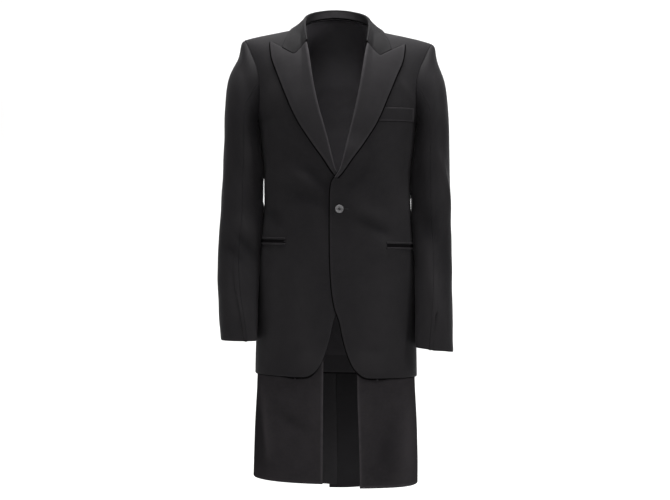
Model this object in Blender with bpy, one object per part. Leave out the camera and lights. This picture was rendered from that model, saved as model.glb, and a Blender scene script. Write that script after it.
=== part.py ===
# Layered long coat: a one-button jacket with peaked lapels over a longer skirt layer.
# It is worn by nobody and keeps the hollow form that it has on a wearer.
# Metres, +Z up, the front faces -Y, +X is the wearer's left. The origin is where the
# wearer's shoulders carry the coat, level with the sides of the neck.

import math
from collections import namedtuple

import bpy
import numpy as np
from mathutils import Vector
from mathutils.bvhtree import BVHTree

for old in list(bpy.data.objects):
    bpy.data.objects.remove(old)

# Cloth, seams and layers
JACKET_WALL = 0.0020
SKIRT_WALL = 0.0015
LINING_WALL = 0.0010
SEAM = 0.0003

# The shoulders and the neck
NECK_HALF = 0.075
NECK_SIDE_Z = 0.008
SHOULDER_HALF = 0.2065
SHOULDER_SLOPE = 0.20
PAD_START = 0.165
PAD_DROP = 0.0025
FRONT_NECK_RISE = 0.073
CHEST_Z = -0.205
FORM_POWER = 2.4
FRONT_CURVE = 2.0
BACK_CURVE = 2.2
UPPER_HALF = 0.2175
BODY_FLATNESS = 1.4
SHOULDER_UP = 0.10
SHOULDER_UP_FROM = (-0.10, 0.0)

# How the coat hangs on the wearer: its left side is lower, its top leans to its left
SIDE_DROP = 0.020
SIDE_LEAN = 0.0065
LEAN_HEIGHT = -0.45
NECK_SHIFT = 0.0030
NECK_SHIFT_OUT = (0.10, 0.20)
NECK_SHIFT_UP = (-0.28, -0.12)

# The jacket's hem and its closing
JACKET_HEM_Z = -0.748
BACK_HEM_DIP = 0.007
BREAK_Z = -0.334
OVERLAP = 0.0155
LAP_LIFT = 0.0025
LAP_LIFT_BREAK = 0.0060
LAP_OUT = 0.070
LAP_IN = 0.028
LAPEL_FOOT_UP = 0.018
LAPEL_FOOT_REACH = (0.045, 0.110)
LAP_TOP = (-0.27, -0.22)

# The skirt layer hangs from a join inside the jacket
JOIN_Z = -0.600
SKIRT_HEM_Z = -0.9770
SKIRT_HEM_TILT = 0.0040
SKIRT_BACK_DIP = 0.038
SKIRT_START_RIGHT = 0.0275
SKIRT_START_LEFT = 0.0450
SKIRT_SPREAD_LEFT = 0.0070
VENT_LAP = 0.014
VENT_SLANT = 0.005
SKIRT_INSET = 0.0024
SKIRT_INSET_Z = -0.720
SKIRT_FREE = (0.76, 0.84)
SKIRT_SLANT = (0.74, 0.98)
SKIRT_DIP_TOP = -0.700
VENT_SLANT_FROM = (0.72, 0.98)
LINING_STEP = 0.042
SKIRT_ROWS = 11

# Columns across a panel, counted once round its width
FRONT_COLUMNS = 14
NECK_COLUMNS = 7
SHOULDER_COLUMNS = 6
BLADE_CURVE = 0.92
BACK_COLUMNS = NECK_COLUMNS + SHOULDER_COLUMNS
SKIRT_COLUMNS = 12

Form = namedtuple("Form", "height half front back")
FORM = (
    Form(-1.030, 0.1865, 0.128, 0.131),
    Form(-0.870, 0.1830, 0.126, 0.126),
    Form(-0.748, 0.1775, 0.122, 0.121),
    Form(-0.650, 0.1758, 0.1195, 0.116),
    Form(-0.550, 0.1740, 0.117, 0.108),
    Form(-0.460, 0.1695, 0.1135, 0.095),
    Form(-0.420, 0.1650, 0.1125, 0.090),
    Form(-0.378, 0.1604, 0.1135, 0.088),
    Form(-0.312, 0.1612, 0.1175, 0.094),
    Form(-0.257, 0.1675, 0.1205, 0.101),
    Form(CHEST_Z, 0.1740, 0.122, 0.105),
)

# The left front's edge, hem to chest: the cutaway corner, the lap, then the roll line
Edge = namedtuple("Edge", "height reach")
FRONT_EDGE = (
    Edge(JACKET_HEM_Z, 0.0880),
    Edge(-0.7470, 0.0670),
    Edge(-0.7430, 0.0553),
    Edge(-0.7380, 0.0480),
    Edge(-0.7300, 0.0395),
    Edge(-0.7200, 0.0328),
    Edge(-0.7050, 0.0262),
    Edge(-0.6850, 0.0195),
    Edge(-0.6600, 0.0128),
    Edge(-0.6300, 0.0068),
    Edge(-0.6000, -0.0040),
    Edge(-0.5550, -0.0110),
    Edge(-0.4900, -0.0145),
    Edge(-0.4200, -OVERLAP),
    Edge(-0.3700, -OVERLAP),
    Edge(BREAK_Z, -0.0130),
    Edge(-0.3200, -0.0035),
    Edge(-0.3080, 0.0030),
    Edge(-0.2870, 0.0092),
    Edge(-0.2660, 0.0145),
    Edge(-0.2400, 0.0207),
    Edge(CHEST_Z, 0.0297),
)

# Rows over the chest to the shoulder seam: rise 0 is the chest, 1 is the seam
Yoke = namedtuple("Yoke", "rise neck armhole_front armhole_back")
YOKE = (
    Yoke(0.00, 0.0297, 0.1740, 0.1740),
    Yoke(0.05, 0.0355, 0.1712, 0.1722),
    Yoke(0.12, 0.0420, 0.1692, 0.1712),
    Yoke(0.22, 0.0493, 0.1680, 0.1708),
    Yoke(0.33, 0.0548, 0.1700, 0.1725),
    Yoke(0.44, 0.0595, 0.1765, 0.1780),
    Yoke(0.55, 0.0645, 0.1858, 0.1868),
    Yoke(0.67, 0.0700, 0.1940, 0.1945),
    Yoke(0.79, 0.0730, 0.2000, 0.2003),
    Yoke(0.90, 0.0745, 0.2045, 0.2045),
    Yoke(1.00, NECK_HALF, SHOULDER_HALF, SHOULDER_HALF),
)
GORGE_ROW = 6
BLADE_RISE = YOKE[3].rise

# The neck seam behind the shoulders, from its side to the middle
Neck = namedtuple("Neck", "half back height")
NECK = (
    Neck(NECK_HALF, 0.0000, NECK_SIDE_Z),
    Neck(0.0733, 0.0130, 0.0150),
    Neck(0.0685, 0.0270, 0.0222),
    Neck(0.0590, 0.0410, 0.0292),
    Neck(0.0430, 0.0530, 0.0350),
    Neck(0.0220, 0.0602, 0.0398),
    Neck(0.0000, 0.0620, 0.0415),
)

FRONT_HEIGHTS = (
    JACKET_HEM_Z, -0.747, -0.743, -0.738, -0.730, -0.720, -0.705, -0.685, -0.660,
    -0.630, -0.600, -0.555, -0.510, -0.465, -0.425, -0.382, BREAK_Z, -0.319, -0.300,
    -0.268, -0.236,
)
BACK_HEIGHTS = (
    JACKET_HEM_Z, -0.712, -0.675, -0.637, -0.600, -0.558, -0.515, -0.470, -0.425,
    -0.382, -0.340, -0.300, -0.262, -0.230,
)

# The sleeve's seams, counted in points of the armhole from its lowest and highest one
FRONT_SEAM_UP = 3
BACK_SEAM_DOWN = 5
ARMHOLE_HALF = 0.062
OVAL_POWER = 0.94

# Sleeve rings below the armhole: the outer and inner edge as the front view shows
# them, the middle's place and half depth fore and aft, and the share of a plain oval
Ring = namedtuple("Ring", "outer_x outer_z inner_x inner_z middle_y depth oval")
RIGHT_SLEEVE = (
    Ring(0.2130, -0.027, 0.1762, -0.211, 0.000, 0.064, 0.20),
    Ring(0.2155, -0.042, 0.1758, -0.216, 0.000, 0.066, 0.45),
    Ring(0.2195, -0.060, 0.1752, -0.222, 0.001, 0.068, 0.70),
    Ring(0.2290, -0.080, 0.1742, -0.229, 0.001, 0.070, 0.90),
    Ring(0.2390, -0.106, 0.1718, -0.238, 0.001, 0.071, 1.00),
    Ring(0.2460, -0.145, 0.1700, -0.251, 0.001, 0.071, 1.00),
    Ring(0.2485, -0.195, 0.1674, -0.272, 0.001, 0.070, 1.00),
    Ring(0.2498, -0.250, 0.1642, -0.303, 0.001, 0.068, 1.00),
    Ring(0.2525, -0.320, 0.1656, -0.342, 0.001, 0.065, 1.00),
    Ring(0.2562, -0.390, 0.1636, -0.393, -0.003, 0.062, 1.00),
    Ring(0.2582, -0.450, 0.1700, -0.450, -0.010, 0.059, 1.00),
    Ring(0.2592, -0.510, 0.1736, -0.510, -0.020, 0.056, 1.00),
    Ring(0.2580, -0.570, 0.1752, -0.568, -0.031, 0.053, 1.00),
    Ring(0.2545, -0.625, 0.1735, -0.622, -0.041, 0.050, 1.00),
    Ring(0.2500, -0.675, 0.1705, -0.673, -0.050, 0.048, 1.00),
)
LEFT_SLEEVE = (
    Ring(0.2130, -0.027, 0.1762, -0.211, 0.000, 0.064, 0.20),
    Ring(0.2150, -0.042, 0.1758, -0.216, 0.000, 0.066, 0.45),
    Ring(0.2185, -0.060, 0.1752, -0.222, 0.001, 0.068, 0.70),
    Ring(0.2250, -0.080, 0.1742, -0.229, 0.001, 0.070, 0.90),
    Ring(0.2340, -0.106, 0.1718, -0.238, 0.001, 0.071, 1.00),
    Ring(0.2402, -0.145, 0.1700, -0.251, 0.001, 0.071, 1.00),
    Ring(0.2432, -0.195, 0.1674, -0.272, 0.001, 0.070, 1.00),
    Ring(0.2450, -0.250, 0.1642, -0.303, 0.001, 0.068, 1.00),
    Ring(0.2475, -0.320, 0.1656, -0.342, 0.001, 0.065, 1.00),
    Ring(0.2492, -0.390, 0.1636, -0.393, -0.003, 0.062, 1.00),
    Ring(0.2508, -0.450, 0.1700, -0.450, -0.010, 0.059, 1.00),
    Ring(0.2518, -0.510, 0.1736, -0.508, -0.020, 0.056, 1.00),
    Ring(0.2520, -0.570, 0.1748, -0.566, -0.031, 0.054, 1.00),
    Ring(0.2525, -0.628, 0.1738, -0.622, -0.041, 0.052, 1.00),
    Ring(0.2545, -0.690, 0.1720, -0.679, -0.050, 0.050, 1.00),
)

# The lapel's free edge on the left, from the break up to the peak
LAPEL_EDGE = (
    Edge(BREAK_Z, -0.0130),
    Edge(-0.3225, 0.0010),
    Edge(-0.3080, 0.0130),
    Edge(-0.2860, 0.0275),
    Edge(-0.2480, 0.0550),
    Edge(-0.2000, 0.0845),
    Edge(-0.1520, 0.1055),
    Edge(-0.1080, 0.1232),
    Edge(-0.0620, 0.1400),
    Edge(-0.0320, 0.1440),
)
GORGE_Z = -0.0320
NOTCH_X = 0.0910
NOTCH_Z = -0.0570
PEAK_X = 0.1440
PEAK_Z = -0.0320
COLLAR_TIP_X = 0.1160
COLLAR_TIP_Z = -0.0425
LAPEL_ROWS = 17
LAPEL_START = 0.035
LAPEL_TUCK = 0.0004
GORGE_STEPS = 3
PEAK_STEPS = 3
TIP_STEPS = 2
LAPEL_GAP = 0.0007
LAPEL_STAND_OFF = 0.0030
STAND_OFF_UP = (0.20, 0.50)
STAND_OFF_OUT = (0.10, 0.90)
LAPEL_TOP_POWER = 4
COLLAR_STAND_OFF = 0.0020

# The collar at even steps of the neck seam from the gorge to the centre back: where it
# rolls, and its free edge seen from above
Station = namedtuple("Station", "roll_x roll_y roll_z fall_x fall_y dip")
COLLAR = (
    Station(0.0640, -0.0810, -0.0212, 0.1160, -0.0690, 1.00),
    Station(0.0660, -0.0640, -0.0085, 0.1100, -0.0540, 0.55),
    Station(0.0675, -0.0460, 0.0055, 0.1050, -0.0400, 0.25),
    Station(0.0685, -0.0275, 0.0165, 0.1010, -0.0260, 0.08),
    Station(0.0687, -0.0090, 0.0265, 0.0970, -0.0080, 0.00),
    Station(0.0668, 0.0110, 0.0355, 0.0930, 0.0120, 0.00),
    Station(0.0610, 0.0300, 0.0440, 0.0850, 0.0330, 0.00),
    Station(0.0500, 0.0460, 0.0510, 0.0700, 0.0530, 0.00),
    Station(0.0350, 0.0575, 0.0562, 0.0480, 0.0660, 0.00),
    Station(0.0180, 0.0635, 0.0597, 0.0240, 0.0715, 0.00),
    Station(0.0000, 0.0655, 0.0608, 0.0000, 0.0730, 0.00),
)
STAND_STEPS = 3
ROLL_STEPS = 3
ROLL_RADIUS = 0.0024
ROLL_SHARE = 0.4
LEAST_STAND = 0.002
STAND_SEAT = 0.0011

# Pockets and the button
Pocket = namedtuple("Pocket", "word side start height")
HIP_POCKETS = (Pocket("left", 1, 0.1050, -0.4656), Pocket("right", -1, 0.1095, -0.4610))
HIP_POCKET_LENGTH = 0.104
SIDE_CLEAR = 0.004
JET_HEIGHT = 0.0058
JET_GAP = 0.0022
JET_WALL = 0.0014
JET_COLUMNS = 11
JET_ROWS = 2
WELT_LOW_Z = -0.2014
WELT_HEIGHT = 0.0288
WELT_RISE = 0.0040
WELT_START_X = 0.083
WELT_END_X = 0.1625
WELT_WALL = 0.0014
WELT_COLUMNS = 10
WELT_ROWS = 3
BUTTON_X = 0.0042
BUTTON_Z = -0.3900
BUTTON_RADIUS = 0.0090
BUTTON_THICK = 0.0032
BUTTON_HOLE_RADIUS = 0.0009
BUTTON_HOLE_REACH = 0.0019
BUTTON_SEAT = 0.0004
BUTTON_SIDES = 28
BUTTON_HOLE_SIDES = 8
BUTTON_HOLES = 4
BUTTON_DISH = 0.0009
BUTTON_FOOT = 0.0008
CUTTER_SPARE = 0.002

# The largest soft folds. Each runs from one point to another on the pieces that it
# names; a negative depth is a trough and a positive one a ridge
Fold = namedtuple("Fold", "piece x0 y0 z0 x1 y1 z1 width depth")
FOLDS = (
    Fold("front", -0.082, -0.11, -0.285, -0.010, -0.12, -0.352, 0.014, -0.0022),
    Fold("front", 0.070, -0.11, -0.300, 0.022, -0.12, -0.355, 0.014, -0.0018),
    Fold("front", 0.038, -0.12, -0.408, 0.118, -0.09, -0.455, 0.014, -0.0024),
    Fold("front", -0.148, -0.05, -0.385, -0.110, -0.09, -0.440, 0.014, -0.0024),
    Fold("front", 0.140, -0.07, -0.350, 0.152, -0.05, -0.415, 0.012, 0.0020),
    Fold("front", 0.118, -0.09, -0.130, 0.160, -0.07, -0.175, 0.010, 0.0016),
    Fold("back", -0.130, 0.07, -0.330, -0.040, 0.09, -0.372, 0.016, -0.0024),
    Fold("back", 0.125, 0.07, -0.340, 0.035, 0.09, -0.382, 0.016, -0.0026),
    Fold("back", 0.150, 0.06, -0.150, 0.110, 0.10, -0.260, 0.014, 0.0020),
    Fold("back", -0.152, 0.06, -0.150, -0.118, 0.10, -0.250, 0.014, 0.0022),
    Fold("skirt_front", -0.158, -0.05, -0.770, -0.136, -0.08, -0.950, 0.011, 0.0050),
    Fold("skirt_front", -0.168, -0.03, -0.800, -0.152, -0.06, -0.980, 0.013, -0.0035),
    Fold("skirt_front", 0.160, -0.05, -0.800, 0.150, -0.07, -0.980, 0.016, 0.0026),
    Fold("skirt_back", -0.120, 0.09, -0.780, -0.126, 0.09, -1.010, 0.018, 0.0045),
    Fold("skirt_back", 0.105, 0.10, -0.800, 0.118, 0.10, -1.010, 0.018, 0.0040),
    Fold("sleeve_right", -0.215, -0.05, -0.405, -0.180, -0.05, -0.470, 0.014, -0.0040),
    Fold("sleeve_right", -0.240, -0.06, -0.455, -0.185, -0.07, -0.500, 0.013, -0.0026),
    Fold("sleeve_right", -0.235, 0.03, -0.400, -0.195, 0.05, -0.440, 0.014, -0.0030),
    Fold("sleeve_left", 0.212, -0.06, -0.440, 0.232, -0.09, -0.660, 0.011, 0.0030),
    Fold("sleeve_left", 0.235, -0.04, -0.350, 0.246, -0.06, -0.560, 0.012, 0.0026),
    Fold("sleeve_left", 0.190, -0.05, -0.400, 0.215, -0.06, -0.470, 0.012, -0.0028),
    Fold("sleeve_left", 0.230, 0.03, -0.390, 0.190, 0.05, -0.440, 0.014, -0.0030),
)

FOLD_END = 0.1
FOLD_SOFT = 1.6

# What each piece is made of: a word for its material, its colour and its roughness
Stuff = namedtuple("Stuff", "word colour rough")
WOOL = Stuff("wool", (0.016, 0.015, 0.017, 1.0), 0.72)
LAPEL_WOOL = Stuff("wool", (0.024, 0.023, 0.025, 1.0), 0.68)
SKIRT_WOOL = Stuff("wool", (0.021, 0.019, 0.021, 1.0), 0.72)
LINING = Stuff("lining", (0.012, 0.011, 0.013, 1.0), 0.50)
HORN = Stuff("horn", (0.090, 0.088, 0.090, 1.0), 0.35)
SHARP_ANGLE = 40


# Curves and directions

def smooth(known, values, at):
    """A curve through a table that never overshoots its values."""
    order = np.argsort(known)
    x = np.asarray(known, float)[order]
    y = np.asarray(values, float)[order]
    step = np.diff(x)
    rise = np.diff(y) / step
    slope = np.zeros(len(x))
    slope[0], slope[-1] = rise[0], rise[-1]
    for i in range(1, len(x) - 1):
        if rise[i - 1] * rise[i] > 0:
            w0 = 2 * step[i] + step[i - 1]
            w1 = step[i] + 2 * step[i - 1]
            slope[i] = (w0 + w1) / (w0 / rise[i - 1] + w1 / rise[i])
    at = np.clip(np.asarray(at, float), x[0], x[-1])
    i = np.clip(np.searchsorted(x, at, side="right") - 1, 0, len(x) - 2)
    t = (at - x[i]) / step[i]
    return (
        y[i] * (1 + 2 * t) * (1 - t) ** 2
        + slope[i] * step[i] * t * (1 - t) ** 2
        + y[i + 1] * t * t * (3 - 2 * t)
        + slope[i + 1] * step[i] * t * t * (t - 1)
    )


def column(table, known, name, at):
    return smooth([getattr(r, known) for r in table], [getattr(r, name) for r in table], at)


def ease(value, low, high):
    """0 below low, 1 above high, with a soft start and end."""
    t = np.clip((np.asarray(value, float) - low) / (high - low), 0.0, 1.0)
    return t * t * (3 - 2 * t)


def spread(points, count):
    """The same line with its points evenly spaced along it."""
    points = np.asarray(points, float)
    along = np.concatenate([[0], np.cumsum(np.linalg.norm(np.diff(points, axis=0), axis=1))])
    wanted = np.linspace(0, along[-1], count)
    return np.stack([np.interp(wanted, along, points[:, k]) for k in range(3)], axis=1)


def unit(v):
    return v / np.maximum(np.linalg.norm(v, axis=-1, keepdims=True), 1e-12)


# The wearer's form, which every layer of the body is worked out from

def shoulder_z(face, x):
    """Height of the shoulder line, with its unseen rise inside the neck."""
    x = np.abs(x)
    pad = np.clip((x - PAD_START) / (SHOULDER_HALF - PAD_START), 0, 1)
    outside = NECK_SIDE_Z - SHOULDER_SLOPE * (x - NECK_HALF) - PAD_DROP * pad**2
    if face == "front":
        inside = NECK_SIDE_Z + FRONT_NECK_RISE * (1 - (x / NECK_HALF) ** 2)
    else:
        inside = column(NAPE, "half", "height", x)
    return np.where(x < NECK_HALF, inside, outside)


def superellipse(share, power):
    """The other half axis's share at one share of the first."""
    return np.clip(1 - np.abs(share) ** power, 0, 1) ** (1 / power)


def nape_ridge():
    """The rise that carries the back's surface through the neck seam."""
    ridge = []
    for n in NECK:
        deep = FORM[-1].back * superellipse(n.half / UPPER_HALF, FORM_POWER)
        up = superellipse(n.back / deep, BACK_CURVE)
        ridge.append(Neck(n.half, 0.0, CHEST_Z + (n.height - CHEST_Z) / float(up)))
    return tuple(ridge)


NAPE = nape_ridge()


def form_depth(face, x, z):
    """How far the form stands in front of or behind the middle at one x and height."""
    x = np.abs(np.asarray(x, float))
    z = np.asarray(z, float)
    curve = FRONT_CURVE if face == "front" else BACK_CURVE
    rise = np.clip((z - CHEST_Z) / (shoulder_z(face, x) - CHEST_Z), 0, 1)
    half = column(FORM, "height", "half", z) + (UPPER_HALF - FORM[-1].half) * rise
    middle = column(FORM, "height", face, z)
    return middle * superellipse(x / half, FORM_POWER) * superellipse(rise, curve)


def side_of(face):
    return -1 if face == "front" else 1


def place(face, x, z):
    """A point on the form, half a seam away from the side seam's plane."""
    y = side_of(face) * (form_depth(face, x, z) + SEAM / 2)
    return np.stack([np.broadcast_to(x, np.shape(y)), y, np.broadcast_to(z, np.shape(y))], -1)


def ring_row(face, z, start, count, dense=160):
    """A level row from x = start round to the side seam."""
    half = float(column(FORM, "height", "half", z))
    x = half * np.sin(np.linspace(math.asin(start / half), math.pi / 2, dense))
    return spread(place(face, x, np.full(dense, z)), count)


def yoke_row(face, rise, start, end, count, dense=160):
    """A row above the chest from x = start to the armhole at x = end."""
    curve = FRONT_CURVE if face == "front" else BACK_CURVE
    angle = rise * math.pi / 2
    reach = (math.cos(angle) ** curve + math.sin(angle) ** curve) ** (-1 / curve)
    up, out = reach * math.sin(angle), reach * math.cos(angle)
    half = FORM[-1].half + (UPPER_HALF - FORM[-1].half) * up
    x = half * np.sin(np.linspace(math.asin(start / half), math.asin(min(end / half, 1)), dense))
    z = CHEST_Z + (shoulder_z(face, x) - CHEST_Z) * up
    y = getattr(FORM[-1], face) * superellipse(x / half, FORM_POWER) * out
    return spread(np.stack([x, side_of(face) * (y + SEAM / 2), z], -1), count)


# Sheets of cloth as grids of points: rows go up the garment, columns round it

def normals(grid, outward):
    """Unit normals of a grid, turned to agree with the outward directions."""
    along = np.gradient(grid, axis=1)
    up = np.gradient(grid, axis=0)
    n = unit(np.cross(along, up))
    return n * np.where((n * outward).sum(-1, keepdims=True) < 0, -1, 1)


def away_from_middle(grid):
    """Rough outward directions for the body: out and, near the top, up."""
    out = grid * np.array([1.0, BODY_FLATNESS, 0.0])
    out[..., 2] = SHOULDER_UP * ease(grid[..., 2], *SHOULDER_UP_FROM)
    return unit(out)


def fold_depth(piece, grid):
    """How far the named folds move each point outwards."""
    moved = np.zeros(grid.shape[:-1])
    for fold in FOLDS:
        if fold.piece != piece:
            continue
        a = np.array([fold.x0, fold.y0, fold.z0])
        b = np.array([fold.x1, fold.y1, fold.z1])
        share = np.clip((grid - a) @ (b - a) / ((b - a) @ (b - a)), 0, 1)
        off = np.linalg.norm(grid - a - share[..., None] * (b - a), axis=-1)
        fade = np.sin(math.pi * (FOLD_END + (1 - 2 * FOLD_END) * share))
        moved += fold.depth * fade * np.exp(-((off / (FOLD_SOFT * fold.width)) ** 2))
    return moved


def hang(points):
    """The coat hangs lower on its left and leans that way, but its neck less so."""
    points = np.array(points, float)
    near = 1 - ease(np.abs(points[..., 0]), *NECK_SHIFT_OUT)
    points[..., 0] -= NECK_SHIFT * near * ease(points[..., 2], *NECK_SHIFT_UP)
    points[..., 0] += SIDE_LEAN * (points[..., 2] - LEAN_HEIGHT)
    points[..., 2] -= SIDE_DROP * points[..., 0]
    return points


def material(name, stuff):
    made = bpy.data.materials.new(name + "_" + stuff.word)
    made.use_nodes = True
    shader = made.node_tree.nodes["Principled BSDF"]
    shader.inputs["Base Color"].default_value = stuff.colour
    shader.inputs["Roughness"].default_value = stuff.rough
    shader.inputs["Metallic"].default_value = 0.0
    return made


def solid(name, points, faces, stuff):
    mesh = bpy.data.meshes.new(name)
    mesh.from_pydata([tuple(map(float, p)) for p in points], [], faces)
    mesh.materials.append(material(name, stuff))
    mesh.shade_smooth()
    mesh.set_sharp_from_angle(angle=math.radians(SHARP_ANGLE))
    made = bpy.data.objects.new(name, mesh)
    bpy.context.scene.collection.objects.link(made)
    return made


def triangles(grid, at):
    """Two triangles a cell, cut upwards and away from the middle on every layer."""
    out = []
    for r in range(len(grid) - 1):
        for c in range(grid.shape[1] - 1):
            low, near, far, high = (
                int(v) for v in (at[r, c], at[r, c + 1], at[r + 1, c + 1], at[r + 1, c]))
            if abs(grid[r, c + 1, 0]) > abs(grid[r, c, 0]):
                out += [(low, near, far), (low, far, high)]
            else:
                out += [(low, near, high), (near, far, high)]
    return out


def wall(name, outer, inner, stuff):
    """A closed wall of cloth between two grids of the same shape."""
    rows, columns = outer.shape[:2]
    size = rows * columns
    points = hang(np.concatenate([outer.reshape(-1, 3), inner.reshape(-1, 3)]))
    at = np.arange(size).reshape(rows, columns)
    faces = []
    for a, b, c in triangles(outer, at):
        faces += [(a, b, c), (c + size, b + size, a + size)]
    rim = [int(v) for v in (*at[0, :], *at[1:, -1], *at[-1, -2::-1], *at[-2:0:-1, 0])]
    for a, b in zip(rim, rim[1:] + rim[:1]):
        faces.append((a, a + size, b + size, b))
    made = solid(name, points, faces, stuff)
    if volume(points, faces) < 0:
        made.data.flip_normals()
    return made


def volume(points, faces):
    total = 0.0
    for face in faces:
        a = points[face[0]]
        for b, c in zip(face[1:], face[2:]):
            total += float(a @ np.cross(points[b], points[c])) / 6
    return total


def mirrored(grid, side):
    return grid * np.array([side, 1.0, 1.0])


# The jacket's body

def lap_lift(grid, side):
    """The left front lies over the right one, and over the right lapel's foot."""
    if side < 0:
        return np.zeros(grid.shape[:-1])
    above_foot = np.abs(grid[..., 2] - (BREAK_Z + LAPEL_FOOT_UP))
    over_lapel = 1 - ease(above_foot, *LAPEL_FOOT_REACH)
    lift = LAP_LIFT + (LAP_LIFT_BREAK - LAP_LIFT) * over_lapel
    upper = 1 - ease(grid[..., 2], *LAP_TOP)
    return lift * upper * (1 - ease(grid[..., 0], LAP_IN, LAP_OUT))


def seam_flat(n, levels, top_start):
    """Keeps both sides of the side seams and shoulder seams from crossing."""
    n[: levels + 1, -1, 1] = 0
    n[-1, top_start:, 1] = 0
    return unit(n)


def front_grid(side):
    """Outer and inner points of a front."""
    rows = [
        ring_row("front", z, float(column(FRONT_EDGE, "height", "reach", z)), FRONT_COLUMNS)
        for z in FRONT_HEIGHTS
    ]
    rows += [yoke_row("front", y.rise, y.neck, y.armhole_front, FRONT_COLUMNS) for y in YOKE]
    grid = mirrored(np.array(rows), side)
    n = seam_flat(normals(grid, away_from_middle(grid)), len(FRONT_HEIGHTS), 0)
    lift = lap_lift(grid, side) + fold_depth("front", grid)
    outer = grid + n * lift[..., None]
    return outer, outer - n * JACKET_WALL


def back_top(count=120):
    """The back's top edge: the neck seam from the centre, then the shoulder seam."""
    x = NECK_HALF * np.sin(np.linspace(0, math.pi / 2, count))
    back, height = column(NECK, "half", "back", x), column(NECK, "half", "height", x)
    neck = spread(np.stack([x, back, height], -1), NECK_COLUMNS + 1)
    x = np.linspace(NECK_HALF, SHOULDER_HALF, count)
    seam = spread(np.stack([x, 0 * x, shoulder_z("back", x)], -1), SHOULDER_COLUMNS)
    line = np.concatenate([neck, seam[1:]])
    line[:, 1] += SEAM / 2
    return line


def over_shoulder(base, top, share, armhole_x):
    """A row of the back between the shoulder blades and its top edge."""
    angle = share * math.pi / 2
    row = np.zeros_like(base)
    row[:, 0] = base[:, 0] + (top[:, 0] - base[:, 0]) * share
    row[:, 0] += (armhole_x - row[-1, 0]) * np.linspace(0, 1, len(row)) ** 3
    row[:, 1] = top[:, 1] + (base[:, 1] - top[:, 1]) * math.cos(angle) ** BLADE_CURVE
    row[:, 2] = base[:, 2] + (top[:, 2] - base[:, 2]) * math.sin(angle) ** BLADE_CURVE
    return row


def back_form():
    """The back from its centre to the wearer's left, which the lining follows too."""
    rows = [ring_row("back", z, 0.0, BACK_COLUMNS) for z in BACK_HEIGHTS]
    plain = [y for y in YOKE if y.rise <= BLADE_RISE]
    rows += [yoke_row("back", y.rise, 0.0, y.armhole_back, BACK_COLUMNS) for y in plain]
    top, base = back_top(), rows[-1]
    for y in YOKE[len(plain):]:
        share = (y.rise - BLADE_RISE) / (1 - BLADE_RISE)
        rows.append(over_shoulder(base, top, share, y.armhole_back) if share < 1 else top)
    grid = np.array(rows)
    middle = (1 - (grid[..., 0] / FORM[2].half) ** 2).clip(0, 1)
    grid[..., 2] -= BACK_HEM_DIP * middle * (1 - ease(grid[..., 2], JACKET_HEM_Z, JOIN_Z))
    return grid


def back_grid(side):
    grid = back_form()
    grid[..., 0] += SEAM / 2 * (1 - np.linspace(0, 1, BACK_COLUMNS))
    grid = mirrored(grid, side)
    n = normals(grid, away_from_middle(grid))
    n[:, 0, 0] = 0
    n = seam_flat(n, len(BACK_HEIGHTS), NECK_COLUMNS)
    outer = grid + n * fold_depth("back", grid)[..., None]
    return outer, outer - n * JACKET_WALL


# Sleeves

def armhole(side, front, back):
    """The armhole's edge from the shoulder down the front, under and up the back."""
    first_front = len(FRONT_HEIGHTS)
    first_back = len(BACK_HEIGHTS)
    down = front[first_front:, -1][::-1]
    up = back[first_back:, -1]
    loop = np.concatenate([[(down[0] + up[-1]) / 2], down[1:-1], [(down[-1] + up[0]) / 2], up[1:-1]])
    loop[:, 0] += side * SEAM
    return loop


def sleeve_grids(side, front, back, table, piece):
    loop = armhole(side, front, back)
    closed = np.concatenate([loop, loop[:1]])
    run = np.concatenate([[0], np.cumsum(np.linalg.norm(np.diff(closed, axis=0), axis=1))])
    angle = 2 * math.pi * run[:-1] / run[-1]
    under = len(YOKE) - 1
    angle[: under + 1] *= math.pi / angle[under]
    angle[under:] = math.pi + (angle[under:] - angle[under]) * math.pi / (
        2 * math.pi - angle[under])
    top, bottom = loop[0, [0, 2]] * [side, 1], loop[under, [0, 2]] * [side, 1]
    plain = oval(side, top, bottom, 0.0, ARMHOLE_HALF, angle)
    rings = [loop]
    for row in table:
        ring = oval(
            side, (row.outer_x, row.outer_z), (row.inner_x, row.inner_z),
            row.middle_y, row.depth, angle)
        rings.append(ring + (loop - plain) * (1 - row.oval))
    grid = np.array(rings)
    wrapped = np.concatenate([grid[:, -1:], grid, grid[:, :1]], axis=1)
    middle = grid.mean(axis=1, keepdims=True)
    out = np.concatenate([grid[:, -1:], grid, grid[:, :1]], axis=1) - middle
    n = normals(wrapped, out)[:, 1:-1]
    inward = unit((middle - grid)[0] * np.array([0, 1, 1]))
    n[0] = -inward
    outer = grid + n * fold_depth(piece, grid)[..., None]
    return outer, outer - n * JACKET_WALL


def oval(side, outer, inner, middle_y, depth, angle):
    """A ring of the sleeve: angle 0 is its outer side, then the front, the inner side."""
    cx, cz = (outer[0] + inner[0]) / 2, (outer[1] + inner[1]) / 2
    ax, az = (outer[0] - inner[0]) / 2, (outer[1] - inner[1]) / 2
    cos = np.sign(np.cos(angle)) * np.abs(np.cos(angle)) ** OVAL_POWER
    sin = np.sign(np.sin(angle)) * np.abs(np.sin(angle)) ** OVAL_POWER
    return np.stack([side * (cx + ax * cos), middle_y - depth * sin, cz + az * cos], -1)


def nudged(grid, first, last):
    """Columns first to last of a closed sleeve, half a seam short at both ends."""
    count = grid.shape[1]
    part = grid[:, [c % count for c in range(first, last + 1)]].copy()
    part[:, 0] += unit(part[:, 1] - part[:, 0]) * SEAM / 2
    part[:, -1] += unit(part[:, -2] - part[:, -1]) * SEAM / 2
    return part


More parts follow.
